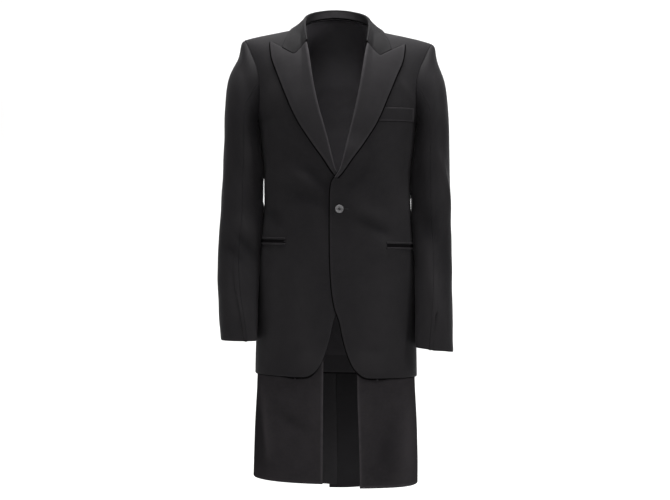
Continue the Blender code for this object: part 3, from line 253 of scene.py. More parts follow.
# piece, where a fold starts and ends, its width, how far it stands out, and how crisp it is
folds = [
    ("front", (-0.083, -0.11, -0.297), (-0.012, -0.12, -0.356), 0.011, -0.0036, 0.5),
    ("front", (-0.105, -0.10, -0.310), (-0.040, -0.12, -0.345), 0.012, 0.0022, 0.4),
    ("front", (-0.095, -0.11, -0.360), (-0.022, -0.12, -0.382), 0.012, -0.0022, 0.3),
    ("front", (0.070, -0.11, -0.300), (0.020, -0.12, -0.356), 0.011, -0.0030, 0.5),
    ("front", (0.036, -0.12, -0.404), (0.116, -0.09, -0.446), 0.010, -0.0036, 0.5),
    ("front", (0.030, -0.12, -0.385), (0.104, -0.10, -0.420), 0.012, 0.0022, 0.3),
    ("front", (0.078, -0.11, -0.450), (0.130, -0.08, -0.476), 0.012, 0.0018, 0.3),
    ("front", (-0.152, -0.05, -0.392), (-0.114, -0.09, -0.434), 0.010, -0.0034, 0.6),
    ("front", (-0.135, -0.09, -0.500), (-0.138, -0.09, -0.700), 0.014, 0.0024, 0.1),
    ("front", (-0.080, -0.11, -0.520), (-0.084, -0.11, -0.700), 0.020, 0.0022, 0.0),
    ("front", (0.080, -0.11, -0.530), (0.100, -0.10, -0.690), 0.026, 0.0024, 0.0),
    ("front", (-0.060, -0.11, -0.690), (-0.050, -0.12, -0.748), 0.020, 0.0030, 0.0),
    ("front", (0.075, -0.11, -0.690), (0.068, -0.12, -0.748), 0.020, 0.0030, 0.0),
    ("front", (0.140, -0.07, -0.350), (0.152, -0.05, -0.415), 0.012, 0.0020, 0.3),
    ("front", (0.132, -0.08, -0.108), (0.164, -0.06, -0.156), 0.008, 0.0024, 0.8),
    ("front", (-0.120, -0.09, -0.120), (-0.158, -0.06, -0.175), 0.014, 0.0018, 0.2),
    ("back", (-0.130, 0.07, -0.330), (-0.040, 0.09, -0.372), 0.016, -0.0030, 0.4),
    ("back", (0.125, 0.07, -0.340), (0.035, 0.09, -0.382), 0.016, -0.0032, 0.4),
    ("back", (-0.110, 0.08, -0.365), (-0.030, 0.09, -0.400), 0.014, 0.0020, 0.3),
    ("back", (0.115, 0.08, -0.390), (0.040, 0.09, -0.415), 0.014, 0.0020, 0.3),
    ("back", (0.150, 0.06, -0.150), (0.110, 0.10, -0.260), 0.014, 0.0028, 0.4),
    ("back", (-0.152, 0.06, -0.150), (-0.118, 0.10, -0.250), 0.014, 0.0030, 0.4),
    ("back", (0.000, 0.10, -0.400), (0.000, 0.11, -0.560), 0.030, -0.0020, 0.0),
    ("back", (-0.070, 0.11, -0.560), (-0.090, 0.11, -0.740), 0.030, 0.0026, 0.0),
    ("back", (0.080, 0.11, -0.560), (0.075, 0.11, -0.740), 0.030, 0.0026, 0.0),
    ("skirtFront", (-0.160, -0.05, -0.770), (-0.144, -0.08, -0.925), 0.007, 0.0082, 0.9),
    ("skirtFront", (-0.170, -0.03, -0.790), (-0.160, -0.06, -0.960), 0.013, -0.0040, 0.2),
    ("skirtFront", (-0.118, -0.09, -0.828), (-0.062, -0.12, -0.862), 0.009, -0.0022, 0.5),
    ("skirtFront", (0.162, -0.05, -0.790), (0.152, -0.07, -0.980), 0.014, 0.0036, 0.4),
    ("skirtFront", (0.120, -0.09, -0.830), (0.100, -0.10, -0.980), 0.022, -0.0022, 0.1),
    ("skirtBack", (-0.120, 0.09, -0.780), (-0.126, 0.09, -1.010), 0.018, 0.0050, 0.3),
    ("skirtBack", (0.105, 0.10, -0.800), (0.118, 0.10, -1.010), 0.018, 0.0046, 0.3),
    ("sleeveRight", (-0.217, -0.05, -0.448), (-0.178, -0.06, -0.500), 0.009, -0.0052, 0.6),
    ("sleeveRight", (-0.215, -0.05, -0.405), (-0.180, -0.05, -0.462), 0.011, 0.0030, 0.4),
    ("sleeveRight", (-0.243, -0.06, -0.470), (-0.200, -0.07, -0.512), 0.010, -0.0034, 0.4),
    ("sleeveRight", (-0.235, 0.03, -0.400), (-0.195, 0.05, -0.440), 0.014, -0.0040, 0.4),
    ("sleeveRight", (-0.232, -0.06, -0.560), (-0.205, -0.09, -0.640), 0.012, 0.0026, 0.3),
    ("sleeveRight", (-0.190, -0.06, -0.255), (-0.184, -0.06, -0.360), 0.012, 0.0026, 0.4),
    ("sleeveLeft", (0.222, -0.055, -0.270), (0.2455, -0.045, -0.395), 0.008, 0.0078, 0.8),
    ("sleeveLeft", (0.196, -0.072, -0.470), (0.217, -0.090, -0.690), 0.011, 0.0058, 0.4),
    ("sleeveLeft", (0.230, -0.060, -0.420), (0.236, -0.070, -0.560), 0.011, -0.0026, 0.2),
    ("sleeveLeft", (0.190, -0.050, -0.400), (0.215, -0.060, -0.470), 0.012, -0.0034, 0.4),
    ("sleeveLeft", (0.230, 0.030, -0.390), (0.190, 0.050, -0.440), 0.014, -0.0040, 0.4),
]


foldLook = {
    "strength": 1.35,
    "fore": 0.25,            # how much depth counts in a distance
    "taper": 0.8, "soft": 1.6, "crisp": 1.25,
    "creaseDepth": 0.0065, "creaseMost": 0.6,      # painted shade and highlight: a fold's depth darkens the cloth in its hollows and lightens it on its ridges
}

# small soft waves keep the cloth from looking like a turned surface; height is that of a wave of length heightAt
waves = {"height": 0.00045, "heightAt": 0.2, "count": 14, "shortest": 0.030, "longest": 0.120, "seed": 7}


def foldDepth(piece, grid):
    # distances are mostly those of the front view, so that a fold lies on the cloth whatever its depth
    moved = np.zeros(grid.shape[:-1])
    seen = np.array([1.0, foldLook["fore"], 1.0])
    for name, start, end, width, depth, crisp in folds:
        if name != piece:
            continue
        a, b = np.array(start) * seen, np.array(end) * seen
        share = np.clip((grid * seen - a) @ (b - a) / ((b - a) @ (b - a)), 0, 1)
        off = np.linalg.norm(grid * seen - a - share[..., None] * (b - a), axis=-1)
        fade = np.sin(math.pi * (share * foldLook["taper"] + (1 - foldLook["taper"]) / 2))
        soft = np.exp(-((off / (foldLook["soft"] * width)) ** 2))
        sharp = np.exp(-foldLook["crisp"] * off / width)
        moved += depth * fade * ((1 - crisp) * soft + crisp * sharp) * foldLook["strength"]
    return moved


def clothWaves(grid):
    chance = np.random.default_rng(waves["seed"])
    moved = np.zeros(grid.shape[:-1])
    for _ in range(waves["count"]):
        way = unitOf(chance.normal(size=3) * np.array([1.6, 1.0, 0.7]))
        length = chance.uniform(waves["shortest"], waves["longest"])
        moved += np.sin(grid @ way * 2 * math.pi / length + chance.uniform(0, 6.3)) * length
    return moved * waves["height"] / waves["heightAt"]


# Materials

wool = {
    "dark": (0.0076, 0.0071, 0.0080, 1.0),
    "light": (0.0142, 0.0132, 0.0142, 1.0),
    "twill": 0.0013,        # from one rib of the twill to the next
    "rough": 0.66,
    "sheen": 0.035,
    "specular": 0.07,
    "bump": 0.30,
}
# the lapels: a lighter copy of the jacket's wool, painted light for the way the lapels catch the light
lapelWoolPaintedLight = dict(wool, dark=(0.0116, 0.0108, 0.0119, 1.0), light=(0.0208, 0.0194, 0.0209, 1.0), rough=0.60)
# the collar: a darker copy of the jacket's wool, painted shade that holds down the light the collar catches from
# above
collarWoolPaintedShade = dict(wool, dark=(0.0048, 0.0045, 0.0050, 1.0), light=(0.0084, 0.0078, 0.0085, 1.0), twill=0.0012,
                  sheen=0.02)
skirtWool = dict(wool, dark=(0.0138, 0.0128, 0.0138, 1.0), light=(0.0262, 0.0240, 0.0256, 1.0), specular=0.0,
                 sheen=0.0)
# the hem turned up inside the back: a lighter copy of the jacket's wool, painted light inside the coat
hemWoolPaintedLight = dict(wool, dark=(0.0230, 0.0215, 0.0236, 1.0), light=(0.0360, 0.0335, 0.0362, 1.0))
# near-black wool with no reflection: painted shadow on the cut sides of every panel and in the dark lines round
# their edges
paintedShadowWool = dict(wool, dark=(0.0012, 0.0011, 0.0012, 1.0), light=(0.0030, 0.0028, 0.0030, 1.0), sheen=0.0,
                  specular=0.0)
liningCloth = {
    "dark": (0.0285, 0.0265, 0.0294, 1.0),
    "light": (0.0450, 0.0418, 0.0460, 1.0),
    "twill": 0.0006,
    "rough": 0.46,
    "sheen": 0.06,
    "specular": 0.10,
    "bump": 0.14,
}
# the skirt's dark lining, and a lighter copy of it on the vent's nearer half: painted light against the far half,
# which lies in shade
skirtLining = dict(liningCloth, dark=(0.0066, 0.0060, 0.0070, 1.0), light=(0.0118, 0.0110, 0.0124, 1.0))
ventLiningPaintedLight = dict(liningCloth, dark=(0.0112, 0.0104, 0.0116, 1.0), light=(0.0190, 0.0176, 0.0194, 1.0))


def newGroup(name, inputs, outputs):
    group = bpy.data.node_groups.new(name, "ShaderNodeTree")
    for label, kind, value in inputs:
        made = group.interface.new_socket(name=label, in_out="INPUT", socket_type=kind)
        if value is not None:
            made.default_value = value
    for label, kind in outputs:
        group.interface.new_socket(name=label, in_out="OUTPUT", socket_type=kind)
    return group


def addNode(nodes, links, kind, given=None, **settings):
    # a node with its settings, and its inputs as plain values or as the sockets that feed them
    node = nodes.new(kind)
    for name, value in settings.items():
        setattr(node, name, value)
    for place, value in (given or {}).items():
        if isinstance(value, bpy.types.NodeSocket):
            links.new(value, node.inputs[place])
        else:
            node.inputs[place].default_value = value
    return node


def addMath(nodes, links, operation, a, b=None):
    given = {0: a} if b is None else {0: a, 1: b}
    return addNode(nodes, links, "ShaderNodeMath", given, operation=operation).outputs[0]


def mixColours(nodes, links, share, first, second):
    return addNode(nodes, links, "ShaderNodeMix", {0: share, 6: first, 7: second}, data_type="RGBA").outputs[2]


def addBump(nodes, links, shader, height, strength, distance):
    bump = addNode(nodes, links, "ShaderNodeBump", {"Strength": strength, "Distance": distance, "Height": height})
    links.new(bump.outputs["Normal"], shader.inputs["Normal"])


def newMaterial(name):
    made = bpy.data.materials.new(name)
    made.use_nodes = True
    nodes, links = made.node_tree.nodes, made.node_tree.links
    return made, nodes, links, nodes["Principled BSDF"]


def scaled(colour, times):
    return tuple(v * times for v in colour[:3]) + (1.0,)


weaveLook = {
    "slant": 0.8, "yarnSlant": 0.9, "yarnRate": 0.9,
    "fuzzScale": 1700.0, "slubScale": 160.0, "cloudScale": 42.0,
    "ribHeight": 0.32, "yarnHeight": 0.12, "slubHeight": 0.25,
    "slowTone": 0.60, "slubTone": 0.40, "cloudTone": 0.50, "ribTone": 0.07, "toneDrop": 0.27,
    "roughSpread": 0.10, "roughLeast": 0.95,
}


def makeWeave():
    # twill ribs, the yarns across them, soft fuzz and slow changes of tone
    group = newGroup("weave", [
        ("Place", "NodeSocketVector", None), ("Pitch", "NodeSocketFloat", 0.0013),
        ("Fuzz", "NodeSocketFloat", 0.5), ("Mottle", "NodeSocketFloat", 9.0),
    ], [("Tone", "NodeSocketFloat"), ("Height", "NodeSocketFloat"), ("Rough", "NodeSocketFloat")])
    nodes, links = group.nodes, group.links
    given, made = nodes.new("NodeGroupInput").outputs, nodes.new("NodeGroupOutput").inputs
    calc, look = partial(addMath, nodes, links), weaveLook
    u, v = addNode(nodes, links, "ShaderNodeSeparateXYZ", {0: given["Place"]}).outputs[:2]

    def wave(value, times):
        return calc("SINE", calc("MULTIPLY", calc("DIVIDE", value, given["Pitch"]), 2 * math.pi * times))

    def noise(scale, detail):
        inputs = {"Vector": given["Place"], "Scale": scale, "Detail": detail}
        return addNode(nodes, links, "ShaderNodeTexNoise", inputs).outputs["Fac"]

    def blend(*parts):
        total = calc("MULTIPLY", *parts[0])
        for part in parts[1:]:
            total = calc("ADD", total, calc("MULTIPLY", *part))
        return total

    ribs = wave(calc("ADD", u, calc("MULTIPLY", v, look["slant"])), 1.0)
    yarns = wave(calc("SUBTRACT", calc("MULTIPLY", v, look["yarnSlant"]), u), look["yarnRate"])
    fine, slow = noise(look["fuzzScale"], 2.0), noise(given["Mottle"], 4.0)
    slub, cloudy = noise(look["slubScale"], 3.0), noise(look["cloudScale"], 3.0)
    height = blend((ribs, look["ribHeight"]), (yarns, look["yarnHeight"]), (fine, given["Fuzz"]),
                   (slub, look["slubHeight"]))
    tone = blend((slow, look["slowTone"]), (slub, look["slubTone"]), (cloudy, look["cloudTone"]),
                 (ribs, look["ribTone"]))
    rough = calc("ADD", calc("MULTIPLY", slow, look["roughSpread"]), look["roughLeast"])
    links.new(height, made["Height"])
    links.new(calc("SUBTRACT", tone, look["toneDrop"]), made["Tone"])
    links.new(rough, made["Rough"])
    return group


def makeEdgeWearAndHighlight():
    # a little lighter along an edge, broken up by noise: rubbed, worn cloth, and on rolled and raised edges a
    # painted highlight
    group = newGroup("edgeWearAndHighlight", [
        ("Colour", "NodeSocketColor", None), ("Edge", "NodeSocketFloat", 0.0),
        ("Rubbed", "NodeSocketColor", (0.05, 0.045, 0.042, 1.0)), ("Amount", "NodeSocketFloat", 0.25),
        ("Place", "NodeSocketVector", None),
    ], [("Colour", "NodeSocketColor")])
    nodes, links = group.nodes, group.links
    given, made = nodes.new("NodeGroupInput").outputs, nodes.new("NodeGroupOutput").inputs
    noise = addNode(nodes, links, "ShaderNodeTexNoise", {"Vector": given["Place"], "Scale": 55.0, "Detail": 3.0})
    mask = addMath(nodes, links, "MULTIPLY", given["Edge"], noise.outputs["Fac"])
    mask = addMath(nodes, links, "MULTIPLY", mask, given["Amount"])
    links.new(mixColours(nodes, links, mask, given["Colour"], given["Rubbed"]), made["Colour"])
    return group


weaveGroup = makeWeave()
edgeGroup = makeEdgeWearAndHighlight()
finishLook = {
    # how much lighter a rubbed edge and its painted highlight are than the cloth
    "rubbedAndHighlightTimes": 1.9, "bumpDistance": 0.0003,
    "sheenRough": 0.45, "sheenTint": (0.80, 0.78, 0.80, 1.0),
}


def clothMaterial(name, look, wearAndHighlight=0.25):
    made, nodes, links, shader = newMaterial(name)
    add = partial(addNode, nodes, links)
    plan = add("ShaderNodeUVMap", uv_map="plan").outputs["UV"]
    edge, crease = (add("ShaderNodeAttribute", attribute_name=kind).outputs["Fac"] for kind in ("edge", "crease"))
    weave = add("ShaderNodeGroup", {"Pitch": look["twill"], "Place": plan}, node_tree=weaveGroup).outputs
    # painted shade in the hollows of folds and painted highlight on their ridges
    tone = addMath(nodes, links, "ADD", weave["Tone"], crease)
    # lighter along the edges: worn cloth and painted highlight
    rub = add("ShaderNodeGroup", {
        "Colour": mixColours(nodes, links, tone, look["dark"], look["light"]), "Edge": edge, "Place": plan,
        "Amount": wearAndHighlight, "Rubbed": scaled(look["light"], finishLook["rubbedAndHighlightTimes"]),
    }, node_tree=edgeGroup)
    links.new(rub.outputs["Colour"], shader.inputs["Base Color"])
    links.new(addMath(nodes, links, "MULTIPLY", weave["Rough"], look["rough"]), shader.inputs["Roughness"])
    addBump(nodes, links, shader, weave["Height"], look["bump"], finishLook["bumpDistance"])
    shader.inputs["Metallic"].default_value = 0.0
    shader.inputs["Specular IOR Level"].default_value = look["specular"]
    shader.inputs["Sheen Weight"].default_value = look["sheen"]
    shader.inputs["Sheen Roughness"].default_value = finishLook["sheenRough"]
    shader.inputs["Sheen Tint"].default_value = finishLook["sheenTint"]
    return made


# the last setting of a line is how strongly edges lighten: worn cloth, and on the lapels, collar, skirt and
# pockets mostly a painted highlight on rolled and raised edges
materials = {
    "wool": clothMaterial("jacketWool", wool),
    "lapel": clothMaterial("lapelWoolPaintedLight", lapelWoolPaintedLight, wearAndHighlight=1.1),
    "collar": clothMaterial("collarWoolPaintedShade", collarWoolPaintedShade, wearAndHighlight=1.6),
    "hemTurn": clothMaterial("turnedHemWoolPaintedLight", hemWoolPaintedLight),
    # painted shadow for the panels' cut sides and edge lines
    "shade": clothMaterial("paintedShadowEdge", paintedShadowWool, wearAndHighlight=0.0),
    "skirt": clothMaterial("skirtWool", skirtWool, wearAndHighlight=0.9),
    "sleeve": clothMaterial("sleeveWool", dict(wool, rough=0.60), wearAndHighlight=0.1),
    "pocket": clothMaterial("pocketWool", dict(wool, twill=0.0012), wearAndHighlight=2.0),
    # pocket cloth in the slits, coloured as painted shade
    "pocketSlitPaintedShade": clothMaterial("pocketSlitPaintedShade", dict(paintedShadowWool, dark=(0.0034, 0.0031, 0.0035, 1.0),
                                                       light=(0.0060, 0.0056, 0.0061, 1.0))),
    "lining": clothMaterial("bodyLining", liningCloth, wearAndHighlight=0.2),
    "skirtLining": clothMaterial("skirtLining", skirtLining, wearAndHighlight=0.2),
    "ventLiningPaintedLight": clothMaterial("ventLiningPaintedLight", ventLiningPaintedLight, wearAndHighlight=0.2),
    "sleeveLining": clothMaterial("sleeveLining", dict(liningCloth, rough=0.42), wearAndHighlight=0.2),
}
print("materials ready")


# Panels of cloth

edges = {
    "crisp": 0.0011,         # distance of the extra rows that keep an edge crisp
    "rubbed": 0.007,         # width of the lighter band along an edge: worn cloth and painted highlight
    "restWear": 0.3,         # lightening kept on the other edges of a piece whose roll gets the full painted highlight
    "near": 0.62,            # how far the second row goes with a hidden edge
    "down": 0.6,             # how much of a hidden edge's way is downwards
    "tuck": 0.0045, "tuckStart": 0.0007, "tuckDrop": 0.0005, "tuckWall": 0.0008,
}


def addObject(name, data):
    made = bpy.data.objects.new(name, data)
    bpy.context.scene.collection.objects.link(made)
    return made


def gridQuads(at):
    return np.stack([at[:-1, :-1], at[:-1, 1:], at[1:, 1:], at[1:, :-1]], -1).reshape(-1, 4)


def withEdges(grid, gap=edges["crisp"]):
    # a row and a column close to every edge keep it crisp when it is smoothed
    for axis in (0, 1):
        g = np.moveaxis(grid, axis, 0)
        first = g[0] + unitOf(g[1] - g[0]) * gap
        last = g[-1] + unitOf(g[-2] - g[-1]) * gap
        g = np.concatenate([g[:1], first[None], g[1:-1], last[None], g[-1:]])
        grid = np.moveaxis(g, 0, axis)
    return grid


def edgeShare(grid, reach):
    # 1 on the panel's edge and 0 a little way inside it
    rows = np.array([runAlong(r) for r in grid])
    columns = np.array([runAlong(c) for c in np.moveaxis(grid, 1, 0)]).T
    near = np.minimum(np.minimum(rows, rows[:, -1:] - rows), np.minimum(columns, columns[-1:] - columns))
    return 1 - np.clip(near / reach, 0, 1)


def paintShadowLine(outer, inner, which, reach):
    # painted shadow: the hidden layer of the wall reaches past the other one, and its near-black side shows as a
    # dark line round the edge where a shadow would fall
    sideName = which.replace("Outer", "")
    axis, at, near = {"first": (1, 0, 1), "last": (1, -1, -2), "low": (0, 0, 1), "high": (0, -1, -2)}[sideName]
    grown, shown = (outer, inner) if which.endswith("Outer") else (inner, outer)
    g, o = np.moveaxis(grown, axis, 0), np.moveaxis(shown, axis, 0)
    along = unitOf(np.gradient(o[at], axis=0))
    way = unitOf(o[at] - o[near])
    if which in ("first", "low"):
        way = way + np.array([0, 0, -edges["down"]])      # the painted shadow line lies partly below the edge, as a real shadow would
    if which == "low":
        way[:, 1] = 0
    way = unitOf(way - along * (way * along).sum(-1, keepdims=True)) * np.reshape(reach, (-1, 1))
    g[at] += way
    g[near] += way * edges["near"]


def tuckEdge(outer, inner, which):
    # a seam allowance goes on under the next panel and closes the seam
    at, near = (0, 1) if which == "first" else (-1, -2)
    n = unitOf(outer[:, at] - inner[:, at])
    way = unitOf(outer[:, at] - outer[:, near])
    base = inner[:, at] - n * edges["tuckDrop"]
    added = np.stack([base + way * edges["tuckStart"], base + way * edges["tuck"]], 1)
    addedIn = added - n[:, None] * edges["tuckWall"]
    inner[:, at] -= n * (edges["tuckDrop"] + edges["tuckWall"])
    if which == "first":
        return np.concatenate([added[:, ::-1], outer], 1), np.concatenate([addedIn[:, ::-1], inner], 1)
    return np.concatenate([outer, added], 1), np.concatenate([inner, addedIn], 1)


def clothPanel(name, outer, inner, outside, inside=None, lined=None, shaded=None, tucked=(), rolled=None,
               rubbed=edges["rubbed"], folded=None):
    # a closed wall between two grids, with its plan in metres as its UV map
    outer, inner = withEdges(outer), withEdges(inner)
    # painted shadow lines along the edges named in shaded
    for which, reach in (shaded or {}).items():
        paintShadowLine(outer, inner, which, reach(outer) if callable(reach) else reach)
    for which in tucked:
        outer, inner = tuckEdge(outer, inner, which)
    rows, columns = outer.shape[:2]
    size = rows * columns
    acrossRows = np.array([runAlong(r) for r in outer])
    upColumns = np.array([runAlong(c) for c in np.moveaxis(outer, 1, 0)]).T
    plan = np.stack([acrossRows, upColumns], -1).reshape(-1, 2)
    share = edgeShare(outer, rubbed)
    # the rolled columns get the full lighter band: a painted highlight along the rolled edge, with worn cloth
    if rolled:
        share = share * edges["restWear"]
        share[:, rolled[0]:rolled[1]] = 1.0
    share = share.reshape(-1)
    points = hang(np.concatenate([outer.reshape(-1, 3), inner.reshape(-1, 3)]))
    at = np.arange(size).reshape(rows, columns)
    quads = gridQuads(at)
    rim = np.concatenate([at[0, :], at[1:, -1], at[-1, -2::-1], at[-2:0:-1, 0]])
    ahead = np.roll(rim, -1)
    sides = np.stack([rim, rim + size, ahead + size, ahead], -1)
    faces = np.concatenate([quads, quads[:, ::-1] + size, sides])
    mesh = bpy.data.meshes.new(name)
    mesh.from_pydata(points.tolist(), [], faces.tolist())
    for used in (outside, "shade", inside or outside):
        mesh.materials.append(materials[used])
    # the panel's cut sides take the near-black material: painted shadow, so an edge seen aslant shows as a dark
    # line
    index = np.zeros(len(faces), int)
    index[2 * len(quads):] = 1
    if inside:
        middle = outer[:-1, :-1] / 2 + outer[1:, 1:] / 2
        cells = np.ones(len(quads), bool) if lined is None else lined(middle).reshape(-1)
        index[len(quads):2 * len(quads)] = 2 * cells
    mesh.polygons.foreach_set("material_index", index)
    uv = mesh.uv_layers.new(name="plan")
    corners = np.zeros(len(mesh.loops), int)
    mesh.loops.foreach_get("vertex_index", corners)
    uv.data.foreach_set("uv", plan[corners % size].ravel())
    # a fold's depth, stored for the painted shade and highlight of folds
    most = foldLook["creaseMost"]
    crease = np.zeros(size) if folded is None else foldDepth(folded, outer).reshape(-1) / foldLook["creaseDepth"]
    for label, values in (("edge", share), ("crease", np.clip(crease, -most, most))):
        made = mesh.attributes.new(label, "FLOAT", "POINT")
        made.data.foreach_set("value", np.concatenate([values, values]))
    mesh.shade_smooth()
    piece = addObject(name, mesh)
    if signedVolume(points, faces) < 0:
        mesh.flip_normals()
    soft = piece.modifiers.new("soften", "SUBSURF")
    soft.levels = soft.render_levels = 1
    return piece


def signedVolume(points, faces):
    a, b, c, d = (points[faces[:, k]] for k in range(4))
    return float((a * np.cross(b, c)).sum() + (a * np.cross(c, d)).sum()) / 6


def dress(piece, nodes):
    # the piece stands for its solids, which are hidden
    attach(piece, "root")
    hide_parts(*nodes)
    return piece


# The jacket's body

jacket = {
    "neckColumns": 12,
    "shoulderColumns": 20,
    "frontColumns": 40,
    "rollRadius": 0.0022,      # the lapel's fold round the front's edge
    "facing": 0.085,           # wool that shows inside the front's edge
    "hemTurn": 0.040,          # wool turned up inside the hem
    "hemLow": 0.0018, "hemDeep": 0.0046, "hemSpread": 0.032, "hemRise": 0.026,     # painted shadow line under the hem
    "edgeShadowLine": {"Left": 0.0034, "Right": 0.0010},                                 # and along the front's edge
    # painted shadow line under the back's hem
    "backShadowLine": 0.0024,
    "lapRise": 0.018, "lapFade": (0.045, 0.110), "lapTop": (-0.27, -0.22), "lapInner": 0.028,
    "quiet": 0.03,             # no waves this close to a seam
    "rollEase": 0.0004, "rollRise": (0.004, 0.040),
    "topCurve": 0.92,
    "frontCut": (0.31, 0.78), "frontArea": 0.165,
    "backCut": (0.27, 0.80), "backArea": 0.165,
}


def bodyHeights(low, high, fine):
    heights = [low]
    step = fine
    while heights[-1] + step < high - step / 2:
        heights.append(heights[-1] + step)
        step = min(step * 1.35, coat["cell"])
    return np.array(heights)


frontHeights = bodyHeights(coat["hemZ"], coat["chestZ"], 0.0004)
backHeights = bodyHeights(coat["hemZ"], coat["chestZ"], 0.004)
rises = np.concatenate([np.linspace(0, yoke["bladeRise"], 8), np.linspace(yoke["bladeRise"], 1, 27)[1:]])


def sealSeams(n, levels, topStart):
    # both sides of the side seams and shoulder seams stay parallel
    n[:levels + 1, -1, 1] = 0
    n[-1, topStart:, 1] = 0
    return unitOf(n)


def lapLift(grid, side):
    if side < 0:
        return np.zeros(grid.shape[:-1])
    overLapel = 1 - easeIn(np.abs(grid[..., 2] - (coat["breakZ"] + jacket["lapRise"])), *jacket["lapFade"])
    lift = coat["lapLift"] + (coat["lapLiftBreak"] - coat["lapLift"]) * overLapel
    upper = 1 - easeIn(grid[..., 2], *jacket["lapTop"])
    return lift * upper * (1 - easeIn(grid[..., 0], jacket["lapInner"], coat["lapOut"]))


def hemShadow(outer):
    # painted shadow under the hem: how far the dark line reaches, most at the rounded corner, where the hem
    # stands away from the layer below
    x = np.abs(outer[0, :, 0])
    reach = jacket["hemLow"] + jacket["hemDeep"] * (1 - easeIn(x - x[0], 0, jacket["hemSpread"]))
    reach[0] = 0      # the front edge's own line ends here
    reach[1] *= 1 - edges["near"]
    return reach


# painted shadow along the front's edge, growing to the hem's width near the corner
def cornerShadow(least):
    def reachOf(outer):
        corner = 1 - easeIn(outer[:, 0, 2], coat["hemZ"], coat["hemZ"] + jacket["hemRise"])
        return least + (jacket["hemLow"] + jacket["hemDeep"] - least) * corner
    return reachOf


def rollBack(z):
    # how far the front's edge gives way to the fold of the lapel
    low, high = jacket["rollRise"]
    return (jacket["rollRadius"] + jacket["rollEase"]) * easeIn(z, coat["breakZ"] + low, coat["breakZ"] + high)


def frontGrid(side):
    rows = []
    for z in frontHeights:
        start = float(smoothCurve(frontEdge["height"], frontEdge["reach"], z)) + float(rollBack(z))
        rows.append(ringRow("front", z, start, jacket["frontColumns"]))
    for r in rises:
        start = float(smoothCurve(yoke["rise"], yoke["neck"], r))
        start += float(rollBack(-0.2)) * (1 - float(easeIn(r, 0.45, 0.60)))
        end = float(smoothCurve(yoke["rise"], yoke["armholeFront"], r))
        rows.append(yokeRow("front", r, start, end, jacket["frontColumns"]))
    grid = mirrorX(np.array(rows), side)
    n = sealSeams(gridNormals(grid, awayFromMiddle(grid)), len(frontHeights), 0)
    quiet = 1 - edgeShare(grid, jacket["quiet"])
    lift = lapLift(grid, side) + foldDepth("front", grid) + clothWaves(grid) * quiet
    outer = grid + n * lift[..., None]
    return outer, n, outer - n * coat["wall"]


def backTop():
    x = coat["neckHalf"] * np.sin(np.linspace(0, math.pi / 2, 160))
    y, z = (smoothCurve(neck["half"], neck[kind], x) for kind in ("back", "height"))
    seamLine = np.stack([x, y, z], -1)
    first = spreadPoints(seamLine, jacket["neckColumns"] + 1)
    x = np.linspace(coat["neckHalf"], coat["shoulderHalf"], 160)
    shoulder = spreadPoints(np.stack([x, 0 * x, shoulderZ("back", x)], -1), jacket["shoulderColumns"])
    line = np.concatenate([first, shoulder[1:]])
    line[:, 1] += coat["seam"] / 2
    return line


def backForm():
    columns = jacket["neckColumns"] + jacket["shoulderColumns"]
    rows = [ringRow("back", z, 0.0, columns) for z in backHeights]
    for r in rises[rises <= yoke["bladeRise"] + 1e-9]:
        rows.append(yokeRow("back", r, 0.0, float(smoothCurve(yoke["rise"], yoke["armholeBack"], r)), columns))
    top, base = backTop(), rows[-1]
    for r in rises[rises > yoke["bladeRise"] + 1e-9]:
        share = (r - yoke["bladeRise"]) / (1 - yoke["bladeRise"])
        if share > 1 - 1e-9:
            rows.append(top)
            continue
        angle = share * math.pi / 2
        row = np.zeros_like(base)
        row[:, 0] = base[:, 0] + (top[:, 0] - base[:, 0]) * share
        end = float(smoothCurve(yoke["rise"], yoke["armholeBack"], r))
        row[:, 0] += (end - row[-1, 0]) * np.linspace(0, 1, len(row)) ** 3
        row[:, 1] = top[:, 1] + (base[:, 1] - top[:, 1]) * math.cos(angle) ** jacket["topCurve"]
        row[:, 2] = base[:, 2] + (top[:, 2] - base[:, 2]) * math.sin(angle) ** jacket["topCurve"]
        rows.append(row)
    grid = np.array(rows)
    middle = (1 - (grid[..., 0] / form["half"][2]) ** 2).clip(0, 1)
    grid[..., 2] -= coat["backHemDip"] * middle * (1 - easeIn(grid[..., 2], coat["hemZ"], skirt["joinZ"]))
    return grid


def backGrid(side):
    grid = backForm()
    columns = grid.shape[1]
    grid[..., 0] += coat["seam"] / 2 * (1 - np.linspace(0, 1, columns))
    grid = mirrorX(grid, side)
    n = gridNormals(grid, awayFromMiddle(grid))
    n[:, 0, 0] = 0
    n = sealSeams(n, len(backHeights), jacket["neckColumns"])
    quiet = 1 - edgeShare(grid, jacket["quiet"])
    outer = grid + n * (foldDepth("back", grid) + clothWaves(grid) * quiet)[..., None]
    return outer, n, outer - n * coat["wall"]


def skinOf(*grids):
    points, faces = [], []
    for grid in grids:
        rows, columns = grid.shape[:2]
        at = len(points) + np.arange(rows * columns).reshape(rows, columns)
        points += grid.reshape(-1, 3).tolist()
        faces += gridQuads(at).tolist()
    return BVHTree.FromPolygons(points, faces)


def outwardAt(spot, n):
    n = np.array(n)
    return n if n @ awayFromMiddle(spot) > 0 else -n


def frontSpot(skin, side, x, z):
    spot, n = skin.ray_cast(Vector((side * x, -1, z)), Vector((0, 1, 0)))[:2]
    if spot is None:
        spot, n = skin.find_nearest(Vector((side * x, -float(formDepth("front", x, z)), z)))[:2]
    point = np.array([side * x, spot.y, z])
    return point, outwardAt(point, n)


def onFront(skin, side, flat, lift):
    points, ways = np.zeros((*flat.shape[:-1], 3)), np.zeros((*flat.shape[:-1], 3))
    for i in np.ndindex(flat.shape[:-1]):
        points[i], ways[i] = frontSpot(skin, side, *flat[i])
    return points + ways * np.asarray(lift)[..., None], ways


# Lapels

